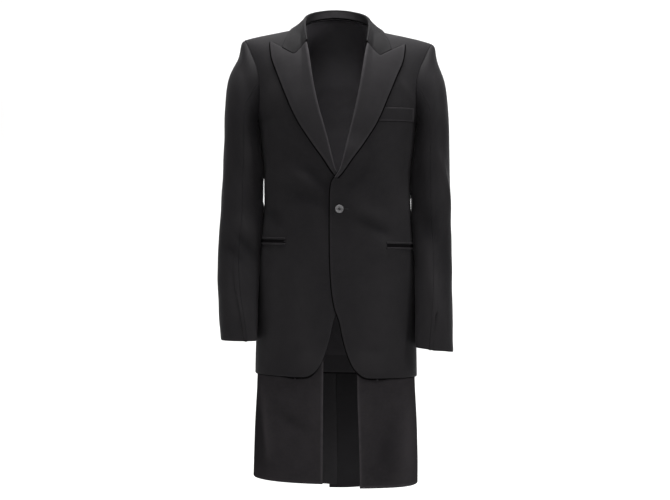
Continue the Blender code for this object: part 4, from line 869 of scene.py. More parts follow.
lapel = {
    "edgeHeight": [-0.3340, -0.3225, -0.3080, -0.2860, -0.2480, -0.2000, -0.1520, -0.1080, -0.0620, -0.0320],
    "edgeReach": [-0.0130, 0.0010, 0.0130, 0.0275, 0.0550, 0.0845, 0.1055, 0.1232, 0.1400, 0.1440],
    "gorgeZ": -0.0320, "notch": (0.0910, -0.0610), "peak": (0.1440, -0.0320),
    "rows": 46, "gorgeSteps": 8, "peakSteps": 8,
    "gap": 0.0007, "standOff": 0.0030,
    # painted shadow lines along the lapel's outer and top edges
    "edgeShadowLine": 0.0046, "topShadowLine": 0.0026,
    "foldTurns": [172, 146, 120, 94, 68, 42, 18],      # degrees round the front's edge
    "foldThin": 0.85, "foldFlat": 0.35,
    "cut": (0.15, 0.34), "area": 0.0225,
}


def gorgeLine(count):
    start = np.array([float(smoothCurve(yoke["rise"], yoke["neck"], yoke["gorgeRise"])), lapel["gorgeZ"]])
    return start + (np.array(lapel["notch"]) - start) * np.linspace(0, 1, count)[:, None]


def rollX(z):
    heights = [h for h in frontEdge["height"] if h >= coat["breakZ"]]
    reach = frontEdge["reach"][-len(heights):]
    for rise, x in zip(yoke["rise"][1:7], yoke["neck"][1:7]):
        up = math.sin(rise * math.pi / 2)
        heights.append(float(coat["chestZ"] + (shoulderZ("front", x) - coat["chestZ"]) * up))
        reach = reach + [x]
    return smoothCurve(heights, reach, z)


def standOff(r, share):
    return lapel["standOff"] * easeIn(r, 0.20, 0.5) * easeIn(share, 0.1, 0.9)


def lapelGrid(side, front):
    steps = lapel["gorgeSteps"] + lapel["peakSteps"]
    gorge = gorgeLine(lapel["gorgeSteps"] + 1)
    t = np.linspace(0, 1, lapel["peakSteps"] + 1)[1:, None]
    top = np.concatenate([gorge, gorge[-1] + (np.array(lapel["peak"]) - gorge[-1]) * t])
    share = np.linspace(0, 1, steps + 1)
    chord = top[0] + (top[-1] - top[0]) * share[:, None]
    climb = np.linspace(0.035, 1, lapel["rows"])
    rows = []
    for r in climb:
        rollZ = coat["breakZ"] + (top[0, 1] - coat["breakZ"]) * r
        edgeZ = coat["breakZ"] + (lapel["peak"][1] - coat["breakZ"]) * r
        start = np.array([float(rollX(rollZ)) + float(rollBack(rollZ)), rollZ])
        edge = np.array([float(smoothCurve(lapel["edgeHeight"], lapel["edgeReach"], edgeZ)), edgeZ])
        rows.append(start + (edge - start) * share[:, None] + (top - chord) * r**4)
    flat = np.array(rows)
    lift = lapel["gap"] + coat["wall"] + standOff(climb[:, None], share[None, :])
    outer, ways = onFront(skinOf(front), side, flat, lift)
    return outer, ways, climb


def makeLapel(word, side, front):
    outer, ways, climb = lapelGrid(side, front)
    n = gridNormals(outer, awayFromMiddle(outer))
    inner = outer - n * coat["wall"]
    # the fold: the cloth turns round the front's edge into its inside
    radius = (coat["wall"] * 2 + lapel["gap"]) / 2
    into = unitOf(outer[:, 0] - outer[:, 1])
    into = unitOf(into - ways[:, 0] * (into * ways[:, 0]).sum(-1, keepdims=True))
    strength = easeIn(climb, 0.02, 0.14)[:, None]
    middle = outer[:, 0] - ways[:, 0] * radius
    foldOuter, foldInner = [], []
    reach = lapel["foldFlat"] + (1 - lapel["foldFlat"]) * strength
    for turn in np.radians(lapel["foldTurns"]):
        way = ways[:, 0] * math.cos(turn) + into * math.sin(turn) * reach
        foldOuter.append(middle + way * radius)
        foldInner.append(middle + way * (radius - coat["wall"] * lapel["foldThin"]))
    outer = np.concatenate([np.stack(foldOuter, 1), outer], axis=1)
    inner = np.concatenate([np.stack(foldInner, 1), inner], axis=1)
    piece = clothPanel("lapel" + word, outer, inner, "lapel",
                       shaded={"last": lapel["edgeShadowLine"], "high": lapel["topShadowLine"]}, rolled=(5, 9))
    dress(piece, ["lapel_" + word.lower()])
    return outer


# The skirt layer and the lining

skirt = {
    "joinZ": -0.600, "hemZ": -0.9770, "hemTilt": 0.0040, "backDip": 0.038,
    "startRight": 0.0275, "startLeft": 0.0450, "spreadLeft": 0.0070,
    "ventLap": 0.014, "ventSlant": 0.005, "ventEase": 0.35, "inset": 0.0024,
    "flare": (0.74, 0.98), "free": (0.755, 0.80), "quiet": 0.02, "dipTop": -0.70,
    # painted shadow lines under the skirt's hems
    "frontShadowLine": 0.0016, "backShadowLine": 0.0012,
    "rows": 54, "columns": 34, "hemTurn": 0.035,
    "frontCut": (0.22, 0.40), "frontArea": 0.082,
    "backCut": (0.27, 0.43), "backArea": 0.110,
}
lining = {
    "above": 0.0009, "hemTurn": 0.0415, "foldBand": (-0.009, -0.006), "bandTop": 0.0115, "joinSpread": 0.042,
    # painted shadow lines below the lining's hem and above its top edge
    "hemShadowLine": 0.0040, "topShadowLine": 0.0022,
    "cut": (0.54, 0.80), "area": 0.34,
}


def layerOffset(z):
    return coat["wall"] + 2 * coat["seam"] + skirt["inset"] * easeIn(-z, -skirt["joinZ"], 0.72)


def liningOffset(z):
    inside = 2 * coat["skirtWall"] + 4 * coat["seam"] + skirt["inset"]
    join = -skirt["joinZ"]
    return coat["wall"] + coat["seam"] + inside * easeIn(-z, join - lining["joinSpread"], join)


def makeLining():
    half = backForm()
    whole = np.concatenate([mirrorX(half, -1)[:, :0:-1], half], axis=1)
    n = gridNormals(whole, awayFromMiddle(whole))
    lift = foldDepth("back", whole) - liningOffset(whole[..., 2])
    outer = whole + n * lift[..., None]
    # above the hem's turn the lining hangs in a soft fold over it
    turnZ = coat["hemZ"] + lining["hemTurn"]
    above = easeIn(whole[..., 2], *(turnZ + edge for edge in lining["foldBand"]))
    inner = outer - n * (coat["liningWall"] + lining["above"] * above)[..., None]
    piece = clothPanel("backLining", outer, inner, "hemTurn", "lining",
                       lambda g: g[..., 2] > turnZ - lining["bandTop"],
                       shaded={"lowOuter": lining["hemShadowLine"], "highOuter": lining["topShadowLine"]})
    dress(piece, ["back_lining"])
    return inner


def skirtGrid(face, side):
    hem = skirt["hemZ"] - side * skirt["hemTilt"]
    rows = []
    for z in np.linspace(hem, skirt["joinZ"], skirt["rows"]):
        start = 0.0
        if face == "front":
            start = skirt["startRight"] if side < 0 else (
                skirt["startLeft"] + skirt["spreadLeft"] * float(easeIn(-z, *skirt["flare"])))
        rows.append(ringRow(face, z, start, skirt["columns"]))
    grid = np.array(rows)
    if face == "back":
        middle = (1 - (grid[..., 0] / form["half"][0]) ** 2).clip(0, 1)
        grid[..., 2] -= skirt["backDip"] * middle * (1 - easeIn(grid[..., 2], hem, skirt["dipTop"]))
    grid = mirrorX(grid, side)
    n = gridNormals(grid, awayFromMiddle(grid))
    n[:, -1, 1] = 0
    n = unitOf(n)
    name = "skirtFront" if face == "front" else "skirtBack"
    free = easeIn(-grid[..., 2], *skirt["free"])      # below the jacket's hem its own folds begin
    quiet = 1 - edgeShare(grid, skirt["quiet"])
    lift = foldDepth(name, grid) * free + clothWaves(grid) * quiet * free
    lift = lift + np.minimum(foldDepth(face, grid), 0) * (1 - free)
    outer = grid + n * (lift - layerOffset(grid[..., 2]))[..., None]
    return outer, n


def makeSkirt():
    for word, side in (("Left", 1), ("Right", -1)):
        outer, n = skirtGrid("front", side)
        piece = clothPanel("skirtFront" + word, outer, outer - n * coat["skirtWall"], "skirt", "skirtLining",
                           lambda g: g[..., 2] > skirt["hemZ"] + skirt["hemTurn"],
                           shaded={"low": skirt["frontShadowLine"]}, rolled=(0, 2) if side < 0 else None,
                           folded="skirtFront")
        dress(piece, ["skirt_front_" + word.lower()])
        outer, n = skirtGrid("back", side)
        n[:, 0] = (0, 1, 0)
        if side > 0:
            outer[:, 0, 0] -= skirt["ventLap"]
            outer[:, 1, 0] -= skirt["ventLap"] * skirt["ventEase"]
        else:
            near = 1 - easeIn(np.abs(outer[..., 0]), 2 * skirt["ventLap"], 5 * skirt["ventLap"])
            outer = outer - n * (near * (coat["skirtWall"] + 2 * coat["seam"]))[..., None]
            outer[:, 0, 0] += skirt["ventSlant"] * easeIn(-outer[:, 0, 2], 0.72, 0.98)
        # the vent's nearer half takes the lighter copy of the lining: painted light
        piece = clothPanel("skirtBack" + word, outer, outer - n * coat["skirtWall"], "skirt",
                           "skirtLining" if side > 0 else "ventLiningPaintedLight", shaded={"low": skirt["backShadowLine"]},
                           tucked=("last",), folded="skirtBack")
        dress(piece, ["skirt_back_" + word.lower()])


# Sleeves: the outer and inner edge in the front view, middle and half depth
# fore and aft, and the share of a plain oval in each ring

sleeve = {
    "outerX": {"Right": [0.2130, 0.2155, 0.2195, 0.2290, 0.2390, 0.2460, 0.2485, 0.2498, 0.2525, 0.2562, 0.2582,
                         0.2592, 0.2580, 0.2545, 0.2500],
               "Left": [0.2130, 0.2150, 0.2185, 0.2250, 0.2340, 0.2402, 0.2432, 0.2450, 0.2475, 0.2492, 0.2508,
                        0.2518, 0.2520, 0.2525, 0.2545]},
    "outerZ": {"Right": [-0.027, -0.042, -0.060, -0.080, -0.106, -0.145, -0.195, -0.250, -0.320, -0.390, -0.450,
                         -0.510, -0.570, -0.625, -0.675],
               "Left": [-0.027, -0.042, -0.060, -0.080, -0.106, -0.145, -0.195, -0.250, -0.320, -0.390, -0.450,
                        -0.510, -0.570, -0.628, -0.690]},
    "innerX": {"Right": [0.1756, 0.1748, 0.1738, 0.1722, 0.1700, 0.1680, 0.1656, 0.1630, 0.1660, 0.1632, 0.1692,
                         0.1730, 0.1748, 0.1732, 0.1703],
               "Left": [0.1756, 0.1748, 0.1738, 0.1722, 0.1700, 0.1680, 0.1656, 0.1625, 0.1640, 0.1632, 0.1692,
                        0.1730, 0.1744, 0.1735, 0.1718]},
    "innerZ": {"Right": [-0.211, -0.216, -0.222, -0.229, -0.238, -0.251, -0.272, -0.303, -0.342, -0.393, -0.450,
                         -0.510, -0.568, -0.622, -0.673],
               "Left": [-0.211, -0.216, -0.222, -0.229, -0.238, -0.251, -0.272, -0.303, -0.342, -0.393, -0.450,
                        -0.508, -0.566, -0.622, -0.679]},
    "middleY": [0.000, 0.000, 0.001, 0.001, 0.001, 0.001, 0.001, 0.001, 0.001, -0.003, -0.010, -0.020, -0.031,
                -0.041, -0.050],
    "depth": {"Right": [0.064, 0.066, 0.068, 0.070, 0.071, 0.071, 0.070, 0.068, 0.065, 0.062, 0.059, 0.056, 0.053,
                        0.050, 0.048],
              "Left": [0.064, 0.066, 0.068, 0.070, 0.071, 0.071, 0.070, 0.068, 0.065, 0.062, 0.059, 0.056, 0.054,
                       0.052, 0.050]},
    "plain": [0.20, 0.45, 0.70, 0.90, 1.00, 1.00, 1.00, 1.00, 1.00, 1.00, 1.00, 1.00, 1.00, 1.00, 1.00],
    "rings": 92,
    "cuffTurn": 0.040, "frontSeam": 0.27, "backSeam": 0.44,
    "slit": {"Right": (-0.314, -0.386), "Left": (-0.349, -0.398)}, "slitWidth": 0.0024,
    "overlap": 0.0030,
    "clear": 0.0009, "clearTop": -0.0006, "nestleFull": 0.036, "nestleNone": 0.058,
    "nestleStart": (0.2045, 0.2080), "clearStart": (0.235, 0.250), "slitEase": 0.014, "sideTurn": 3.2,
    "oval": 0.94, "capDepth": 0.062, "waveTimes": 1.3,
    # the cuff's line is a painted shadow round the cuff's edge
    "capTurn": (0.006, 0.0012), "capDrop": 1.25, "capWall": 0.0006, "cuffShadowLine": 0.0028,
    "topCut": (0.24, 0.66), "topArea": 0.092,
    "underCut": (0.23, 0.60), "underArea": 0.100,
}


def sleeveOval(side, outer, inner, middleY, depth, angle):
    cx, cz = (outer[0] + inner[0]) / 2, (outer[1] + inner[1]) / 2
    ax, az = (outer[0] - inner[0]) / 2, (outer[1] - inner[1]) / 2
    cos = np.sign(np.cos(angle)) * np.abs(np.cos(angle)) ** sleeve["oval"]
    sin = np.sign(np.sin(angle)) * np.abs(np.sin(angle)) ** sleeve["oval"]
    return np.stack([side * (cx + ax * cos), middleY - depth * sin, cz + az * cos], -1)


def sleeveGrids(word, side, front, back):
    down = front[len(frontHeights):, -1][::-1]
    up = back[len(backHeights):, -1]
    loop = np.concatenate([[(down[0] + up[-1]) / 2], down[1:-1], [(down[-1] + up[0]) / 2], up[1:-1]])
    loop[:, 0] += side * coat["seam"]
    run = runAlong(np.concatenate([loop, loop[:1]]))
    angle = 2 * math.pi * run[:-1] / run[-1]
    under = len(rises) - 1
    angle[:under + 1] *= math.pi / angle[under]
    angle[under:] = math.pi + (angle[under:] - angle[under]) * math.pi / (2 * math.pi - angle[under])
    ends = loop[[0, under]][:, [0, 2]] * [side, 1]
    first = sleeveOval(side, *ends, 0.0, sleeve["capDepth"], angle)
    rings = [loop]
    for k, share in enumerate(sleeve["plain"]):
        ring = sleeveOval(side, (sleeve["outerX"][word][k], sleeve["outerZ"][word][k]),
                          (sleeve["innerX"][word][k], sleeve["innerZ"][word][k]),
                          sleeve["middleY"][k], sleeve["depth"][word][k], angle)
        rings.append(ring + (loop - first) * (1 - share))
    control = np.array(rings)
    known = runAlong(control.mean(axis=1))
    known = known / known[-1]
    grid = nestle(smoothCurve(known, control, np.linspace(0, 1, sleeve["rings"])), side, word)
    wrapped = np.concatenate([grid[:, -1:], grid, grid[:, :1]], axis=1)
    middle = grid.mean(axis=1, keepdims=True)
    n = gridNormals(wrapped, wrapped - middle)[:, 1:-1]
    n[0] = unitOf((grid - middle)[0] * np.array([0, 1, 1]))
    n[1] = unitOf(n[0] + n[1])
    fade = easeIn(np.linspace(0, 1, sleeve["rings"]), 0.01, 0.06)[:, None]
    lift = foldDepth("sleeve" + word, grid) + clothWaves(grid) * fade * sleeve["waveTimes"]
    outer = grid + n * lift[..., None]
    return outer, outer - n * coat["wall"], under


def besideBody(y, z):
    # how far out the body's side is at a depth y
    half, ahead, behind = (smoothCurve(form["height"], form[kind], z) for kind in ("half", "front", "back"))
    deep = np.where(y < 0, ahead, behind)
    return half * superEllipse(np.clip(y / deep, -0.98, 0.98), coat["formPower"])


def nestle(grid, side, word):
    # the sleeve's inner side lies along the body, apart from the short slit at the waist
    top, bottom = sleeve["slit"][word]
    z = grid[..., 2]
    ease = sleeve["slitEase"]
    slit = easeIn(-z, -top, -top + ease) * (1 - easeIn(-z, -bottom - ease, -bottom))
    middle = grid.mean(axis=1, keepdims=True)
    off = np.abs(grid[..., 1] - middle[..., 1])
    near = 1 - easeIn(off, sleeve["nestleFull"], sleeve["nestleNone"])
    near = near * easeIn(-z, *sleeve["nestleStart"]) * (side * (middle - grid)[..., 0] > 0)
    half = smoothCurve(form["height"], form["half"], z)
    beside = besideBody(grid[..., 1], z)
    least = (half - sleeve["overlap"]) * (1 + grid[..., 1] / sleeve["sideTurn"])
    beside = np.maximum(beside, np.minimum(least, half))
    clear = sleeve["clearTop"] + (sleeve["clear"] - sleeve["clearTop"]) * easeIn(-z, *sleeve["clearStart"])
    aim = beside + (half - beside) * slit + clear + sleeve["slitWidth"] * slit
    x = np.abs(grid[..., 0])
    grid = grid.copy()
    grid[..., 0] = side * (x + (aim - x) * near)
    return grid


def partOf(grid, first, last):
    count = grid.shape[1]
    part = grid[:, [c % count for c in range(first, last + 1)]].copy()
    part[:, 0] += unitOf(part[:, 1] - part[:, 0]) * coat["seam"] / 2
    part[:, -1] += unitOf(part[:, -2] - part[:, -1]) * coat["seam"] / 2
    return part


def makeSleeve(word, side, front, back):
    outer, inner, under = sleeveGrids(word, side, front, back)
    # a seam allowance turned in past the armhole closes the seam
    middle = outer[0].mean(axis=0)
    inwards = unitOf((middle - outer[0]) * np.array([0, 1, 1]))
    into = np.array([-side, 0, 0])
    base = outer[0] + inwards * coat["wall"] * sleeve["capDrop"]
    turned = np.array([base + into * reach for reach in sleeve["capTurn"]])
    outer = np.concatenate([turned, outer])
    inner = np.concatenate([turned + inwards * sleeve["capWall"], inner])
    count = outer.shape[1]
    frontSeam = under - int(round(sleeve["frontSeam"] * under))
    backSeam = count - int(round(sleeve["backSeam"] * under))

    def cuff(middles):
        return middles[..., 2] > sleeve["outerZ"][word][-1] + sleeve["cuffTurn"]

    pieces = (("Top", (backSeam - count, frontSeam), "topCut", "topArea"),
              ("Under", (frontSeam, backSeam), "underCut", "underArea"))
    for name, (first, last), cut, area in pieces:
        piece = clothPanel("sleeve" + name + word, partOf(outer, first, last), partOf(inner, first, last),
                           "sleeve", "sleeveLining", cuff, shaded={"high": sleeve["cuffShadowLine"]},
                           folded="sleeve" + word, tucked=("first", "last") if name == "Under" else ())
        dress(piece, ["sleeve_%s_%s" % (name.lower(), word.lower())])


# The collar, at even steps of the neck seam from the gorge to the centre back

collar = {
    "rollX": [0.0640, 0.0660, 0.0675, 0.0685, 0.0687, 0.0668, 0.0610, 0.0500, 0.0350, 0.0180, 0.0000],
    "rollY": [-0.0810, -0.0640, -0.0460, -0.0275, -0.0090, 0.0110, 0.0300, 0.0460, 0.0575, 0.0635, 0.0655],
    "rollZ": [-0.0268, -0.0095, 0.0055, 0.0165, 0.0265, 0.0355, 0.0440, 0.0510, 0.0562, 0.0597, 0.0608],
    "fallX": [0.1160, 0.1100, 0.1050, 0.1010, 0.0970, 0.0930, 0.0850, 0.0700, 0.0480, 0.0240, 0.0000],
    "fallY": [-0.0690, -0.0540, -0.0400, -0.0260, -0.0080, 0.0120, 0.0330, 0.0530, 0.0660, 0.0715, 0.0730],
    "dip": [1.00, 0.55, 0.25, 0.08, 0.0, 0.0, 0.0, 0.0, 0.0, 0.0, 0.0],
    "tip": (0.1160, -0.0468),
    "standSteps": 6, "rollSteps": 7, "fallSteps": 14, "rollRadius": 0.0024,
    "seat": 0.0011, "standOff": 0.0020, "between": 4,
    # painted shadow lines along the collar's ends and its fall edge
    "endShadowLine": 0.0020, "fallShadowLine": 0.0014,
    "cut": (0.46, 0.085), "area": 0.027,
}


def keptClear(skin, point, lift):
    spot, n = (np.array(v) for v in skin.find_nearest(Vector(point))[:2])
    n = outwardAt(spot, n)
    if (point - spot) @ n > 0 and np.linalg.norm(point - spot) >= lift:
        return point
    return spot + n * lift


def laidOn(skin, x, y, lift):
    above = Vector((max(x, 2 * coat["seam"]), y, 1))
    spot, n = (np.array(v) for v in skin.ray_cast(above, Vector((0, 0, -1)))[:2])
    return (spot + outwardAt(spot, n) * lift) * np.array([x > 0, 1, 1])


def makeCollar(front, back):
    skin = skinOf(front, back)
    lift = lapel["gap"] + coat["wall"] / 2 + collar["standOff"]
    gorgeRow = int(np.argmin(np.abs(rises - yoke["gorgeRise"])))
    frontPart = front[len(frontHeights) + gorgeRow:, 0]
    backPart = back[-1, jacket["neckColumns"]::-1].copy()
    backPart[-1, 0] = 0
    seamLine = spreadPoints(np.concatenate([frontPart, backPart[1:]]), len(collar["rollX"]))
    stand, turn, fall = collar["standSteps"], collar["rollSteps"], collar["fallSteps"]
    rows = []
    for k, foot in enumerate(seamLine):
        roll = np.array([collar["rollX"][k], collar["rollY"][k], collar["rollZ"][k]])
        end = laidOn(skin, collar["fallX"][k], collar["fallY"][k], lift)
        foot = foot + np.array([0, 0, collar["seat"]])
        radius = min(collar["rollRadius"], max(roll[2] - foot[2], 0.002) * 0.4)
        level = unitOf((end - foot) * np.array([1, 1, 0]))
        neckPoint = roll - np.array([0, 0, radius])
        points = [foot + (neckPoint - foot) * i / stand for i in range(stand)]
        for i in range(turn + 1):
            a = math.pi * i / turn
            up = np.array([0, 0, radius * math.sin(a)])
            points.append(neckPoint + level * radius * (1 - math.cos(a)) + up)
        start = points[-1]
        points += [keptClear(skin, start + (end - start) * i / fall, lift) for i in range(1, fall + 1)]
        rows.append(points)
    rows = np.array(rows)
    first = stand + turn + 1
    # the end follows the gorge seam to the notch and then the collar's tip
    gorgeCount = int(round(fall * 3 / 5))
    gorge = gorgeLine(gorgeCount + 1)[1:]
    t = np.linspace(0, 1, fall - gorgeCount + 1)[1:, None]
    flat = np.concatenate([gorge, gorge[-1] + (np.array(collar["tip"]) - gorge[-1]) * t])
    share = np.arange(1, len(flat) + 1) / len(flat) * 5 / 6
    end, _ = onFront(skin, 1, flat[None], (lapel["gap"] + coat["wall"] / 2 + standOff(1.0, share))[None])
    shift = end[0] + np.array([0, 0, 2 * coat["seam"]]) - rows[0, first:]
    for k, dip in enumerate(collar["dip"]):
        rows[k, first:] += shift * dip
    rows = densify(rows, collar["between"] * (len(rows) - 1) + 1)
    for k in range(1, len(rows)):
        for c in range(first, rows.shape[1]):
            rows[k, c] = keptClear(skin, rows[k, c], lift)
    middle = np.concatenate([rows, mirrorX(rows[:-1][::-1], -1)])
    level = unitOf(middle * np.array([1, 1, 0]) + np.array([0, 1e-6, 0]))
    out = level * 0.5 + np.array([0, 0, 1.0])
    for c in range(first):
        a = math.pi * max(c - stand, 0) / turn
        out[:, c] = -level[:, c] * math.cos(a) + np.array([0, 0, math.sin(a)])
    n = gridNormals(middle, unitOf(out))
    outer = middle + n * coat["wall"] / 2
    piece = clothPanel("coatCollar", outer, middle - n * coat["wall"] / 2, "collar",
                       shaded={"low": collar["endShadowLine"], "high": collar["endShadowLine"], "last": collar["fallShadowLine"]},
                       rolled=(0, 7))
    dress(piece, ["collar"])
    return outer


# Pockets

pocket = {
    "left": {"side": 1, "start": 0.1050, "height": -0.4656},
    "right": {"side": -1, "start": 0.1095, "height": -0.4610},
    "length": 0.104, "jetHeight": 0.0045, "slit": 0.0072, "jetWall": 0.0016,
    "jetColumns": 22, "jetRows": 6, "jetCut": (0.010, 0.110), "jetArea": 0.00055,
    "slitUnder": 0.0012, "slitWall": 0.00025, "slitCut": (0.0120, 0.102), "slitArea": 0.00085,
    "weltStart": 0.083, "weltEnd": 0.1625, "weltLow": -0.2014, "weltHeight": 0.0288, "weltRise": 0.0040,
    # the jets' and the welt's lighter edges are worn cloth and painted highlight; the welt has a painted shadow
    # line below it
    "seat": 0.0001, "slitSeat": 0.00006, "jetEdge": 0.25, "jetFlat": 0.35, "jetWearAndHighlight": 0.0018,
    "weltShadowLine": 0.0014, "weltWearAndHighlight": 0.0026,
    "weltWall": 0.0014, "weltColumns": 22, "weltRows": 9, "weltCut": (0.035, 0.095), "weltArea": 0.0027,
}


def alongFront(z, start, length, count):
    row = ringRow("front", z, start, 300)
    run = runAlong(row)
    at = np.linspace(0, min(length, run[-1] - 0.004), count)
    return np.stack([np.interp(at, run, row[:, k]) for k in range(3)], -1)


def makeJet(word, place, name, low, high):
    # a narrow folded strip, rounded where it meets the slit
    heights = np.linspace(low, high, pocket["jetRows"])
    grid = np.array([alongFront(z, place["start"], pocket["length"], pocket["jetColumns"]) for z in heights])
    grid = mirrorX(grid, place["side"])
    n = gridNormals(grid, awayFromMiddle(grid))
    bulge = np.sin(np.linspace(pocket["jetEdge"], math.pi - pocket["jetEdge"], pocket["jetRows"]))[:, None]
    below = foldDepth("front", grid) + clothWaves(grid)
    lift = 2 * coat["seam"] + pocket["jetWall"] * (pocket["jetFlat"] + (1 - pocket["jetFlat"]) * bulge) + below
    outer = grid + n * lift[..., None]
    base = grid + n * (below + pocket["seat"])[..., None]
    piece = clothPanel("jet" + name + word.title(), outer, base, "pocket", rubbed=pocket["jetWearAndHighlight"])
    dress(piece, ["jet_%s_%s" % (name.lower(), word)])


def makeSlit(word, place, low, high):
    # a near-black strip of pocket cloth laid between the jets: painted shade of the pocket's opening
    heights = np.linspace(low - pocket["slitUnder"], high + pocket["slitUnder"], 5)
    grid = np.array([alongFront(z, place["start"] + 0.001, pocket["length"] - 0.002, 16) for z in heights])
    grid = mirrorX(grid, place["side"])
    n = gridNormals(grid, awayFromMiddle(grid))
    base = grid + n * (foldDepth("front", grid) + clothWaves(grid) + pocket["slitSeat"])[..., None]
    piece = clothPanel("pocketClothPaintedShade" + word.title(), base + n * pocket["slitWall"], base, "pocketSlitPaintedShade")
    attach(piece, "root")


def makePockets(fronts):
    for word in ("left", "right"):
        place = pocket[word]
        low, high = place["height"] - pocket["slit"] / 2, place["height"] + pocket["slit"] / 2
        makeJet(word, place, "Lower", low - pocket["jetHeight"], low)
        makeJet(word, place, "Upper", high, high + pocket["jetHeight"])
        makeSlit(word, place, low, high)
    t = np.linspace(0, 1, pocket["weltColumns"])
    rows = []
    for share in np.linspace(0, 1, pocket["weltRows"]):
        x = pocket["weltStart"] + (pocket["weltEnd"] - pocket["weltStart"]) * t
        z = pocket["weltLow"] + pocket["weltHeight"] * share + pocket["weltRise"] * t
        rows.append(np.stack([x, z], -1))
    lift = np.full((len(rows), len(t)), 2 * coat["seam"] + pocket["weltWall"])
    outer, _ = onFront(skinOf(fronts["Left"]), 1, np.array(rows), lift)
    n = gridNormals(outer, awayFromMiddle(outer))
    piece = clothPanel("chestWelt", outer, outer - n * pocket["weltWall"], "pocket",
                       shaded={"low": pocket["weltShadowLine"]}, rubbed=pocket["weltWearAndHighlight"])
    dress(piece, ["chest_welt"])


# Threads: each row of stitches is made by Geometry Nodes along its path

stitches = {
    "prick": {"spacing": 0.0065, "length": 0.0011, "thickness": 0.00016, "turn": 0.0, "wander": 0.25, "seed": 3},
    "slip": {"spacing": 0.0050, "length": 0.0014, "thickness": 0.00014, "turn": 0.9, "wander": 0.3, "seed": 5},
    "purl": {"spacing": 0.00062, "length": 0.0017, "thickness": 0.00028, "turn": math.pi / 2, "wander": 0.08,
             "seed": 8},
    "tack": {"spacing": 0.00060, "length": 0.0026, "thickness": 0.00026, "turn": math.pi / 2, "wander": 0.10,
             "seed": 9},
}
sewing = {"inset": 0.0035, "lift": 0.0001, "purlApart": 0.0009, "tackLift": 0.0016}


def makeStitchTree(material):
    # short rounded threads at even steps of a path, turned from its direction and a little uneven
    tree = bpy.data.node_groups.new("stitchRow", "GeometryNodeTree")
    kinds = {"Path": "Geometry", "Spacing": "Float", "Length": "Float", "Thickness": "Float", "Turn": "Float",
             "Wander": "Float", "Seed": "Int"}
    for label, kind in kinds.items():
        tree.interface.new_socket(name=label, in_out="INPUT", socket_type="NodeSocket" + kind)
    tree.interface.new_socket(name="Threads", in_out="OUTPUT", socket_type="NodeSocketGeometry")
    nodes, links = tree.nodes, tree.links
    given, made = nodes.new("NodeGroupInput").outputs, nodes.new("NodeGroupOutput").inputs
    add = partial(addNode, nodes, links)
    curve = add("GeometryNodeMeshToCurve", {"Mesh": given["Path"]})
    steps = add("GeometryNodeResampleCurve", {"Curve": curve.outputs["Curve"], "Length": given["Spacing"]},
                mode="LENGTH")
    thread = add("GeometryNodeMeshIcoSphere", {"Radius": 1.0, "Subdivisions": 1})
    soft = add("GeometryNodeSetShadeSmooth", {"Geometry": thread.outputs["Mesh"]})
    tangent, normal = add("GeometryNodeInputTangent"), add("GeometryNodeInputNormal")
    along = add("FunctionNodeAlignRotationToVector", {"Vector": tangent.outputs["Tangent"]}, axis="X")
    onto = add("FunctionNodeAlignRotationToVector",
               {"Rotation": along.outputs["Rotation"], "Vector": normal.outputs["Normal"]},
               axis="Z", pivot_axis="X")
    chance = add("FunctionNodeRandomValue", {"Seed": given["Seed"]})
    centred = add("ShaderNodeMath", {0: chance.outputs[1], 1: 0.5}, operation="SUBTRACT")
    angle = add("ShaderNodeMath", {0: centred.outputs[0], 1: given["Wander"], 2: given["Turn"]},
                operation="MULTIPLY_ADD")
    axis = add("ShaderNodeCombineXYZ", {"Z": angle.outputs[0]})
    turn = add("FunctionNodeEulerToRotation", {0: axis.outputs[0]})
    spun = add("FunctionNodeRotateRotation", {"Rotation": onto.outputs["Rotation"], "Rotate By": turn.outputs[0]},
               rotation_space="LOCAL")
    half = add("ShaderNodeMath", {0: given["Length"], 1: 0.5}, operation="MULTIPLY")
    size = add("ShaderNodeCombineXYZ", {"X": half.outputs[0], "Y": given["Thickness"], "Z": given["Thickness"]})
    spread = add("GeometryNodeInstanceOnPoints", {
        "Points": steps.outputs["Curve"], "Instance": soft.outputs["Geometry"],
        "Rotation": spun.outputs["Rotation"], "Scale": size.outputs[0],
    })
    real = add("GeometryNodeRealizeInstances", {"Geometry": spread.outputs["Instances"]})
    finish = add("GeometryNodeSetMaterial", {"Geometry": real.outputs["Geometry"], "Material": material})
    links.new(finish.outputs["Geometry"], made["Threads"])
    return tree


def threadMaterial(name, colour, rough):
    # twisted thread: fine slanted bands on the object's own place
    made, nodes, links, shader = newMaterial(name)
    place = nodes.new("ShaderNodeTexCoord").outputs["Object"]
    weave = addNode(nodes, links, "ShaderNodeGroup", {"Pitch": 0.0003, "Place": place}, node_tree=weaveGroup)
    tint = mixColours(nodes, links, weave.outputs["Tone"], scaled(colour, 0.7), scaled(colour, 1.4))
    links.new(tint, shader.inputs["Base Color"])
    shader.inputs["Roughness"].default_value = rough
    shader.inputs["Specular IOR Level"].default_value = 0.25
    return made


threadColours = {"coat": (0.016, 0.015, 0.017, 1.0), "button": (0.010, 0.0095, 0.0105, 1.0)}
coatThread = threadMaterial("coatThread", threadColours["coat"], 0.5)
stitchTree = makeStitchTree(coatThread)


def bakedMesh(piece):
    return bpy.data.meshes.new_from_object(piece.evaluated_get(bpy.context.evaluated_depsgraph_get()))


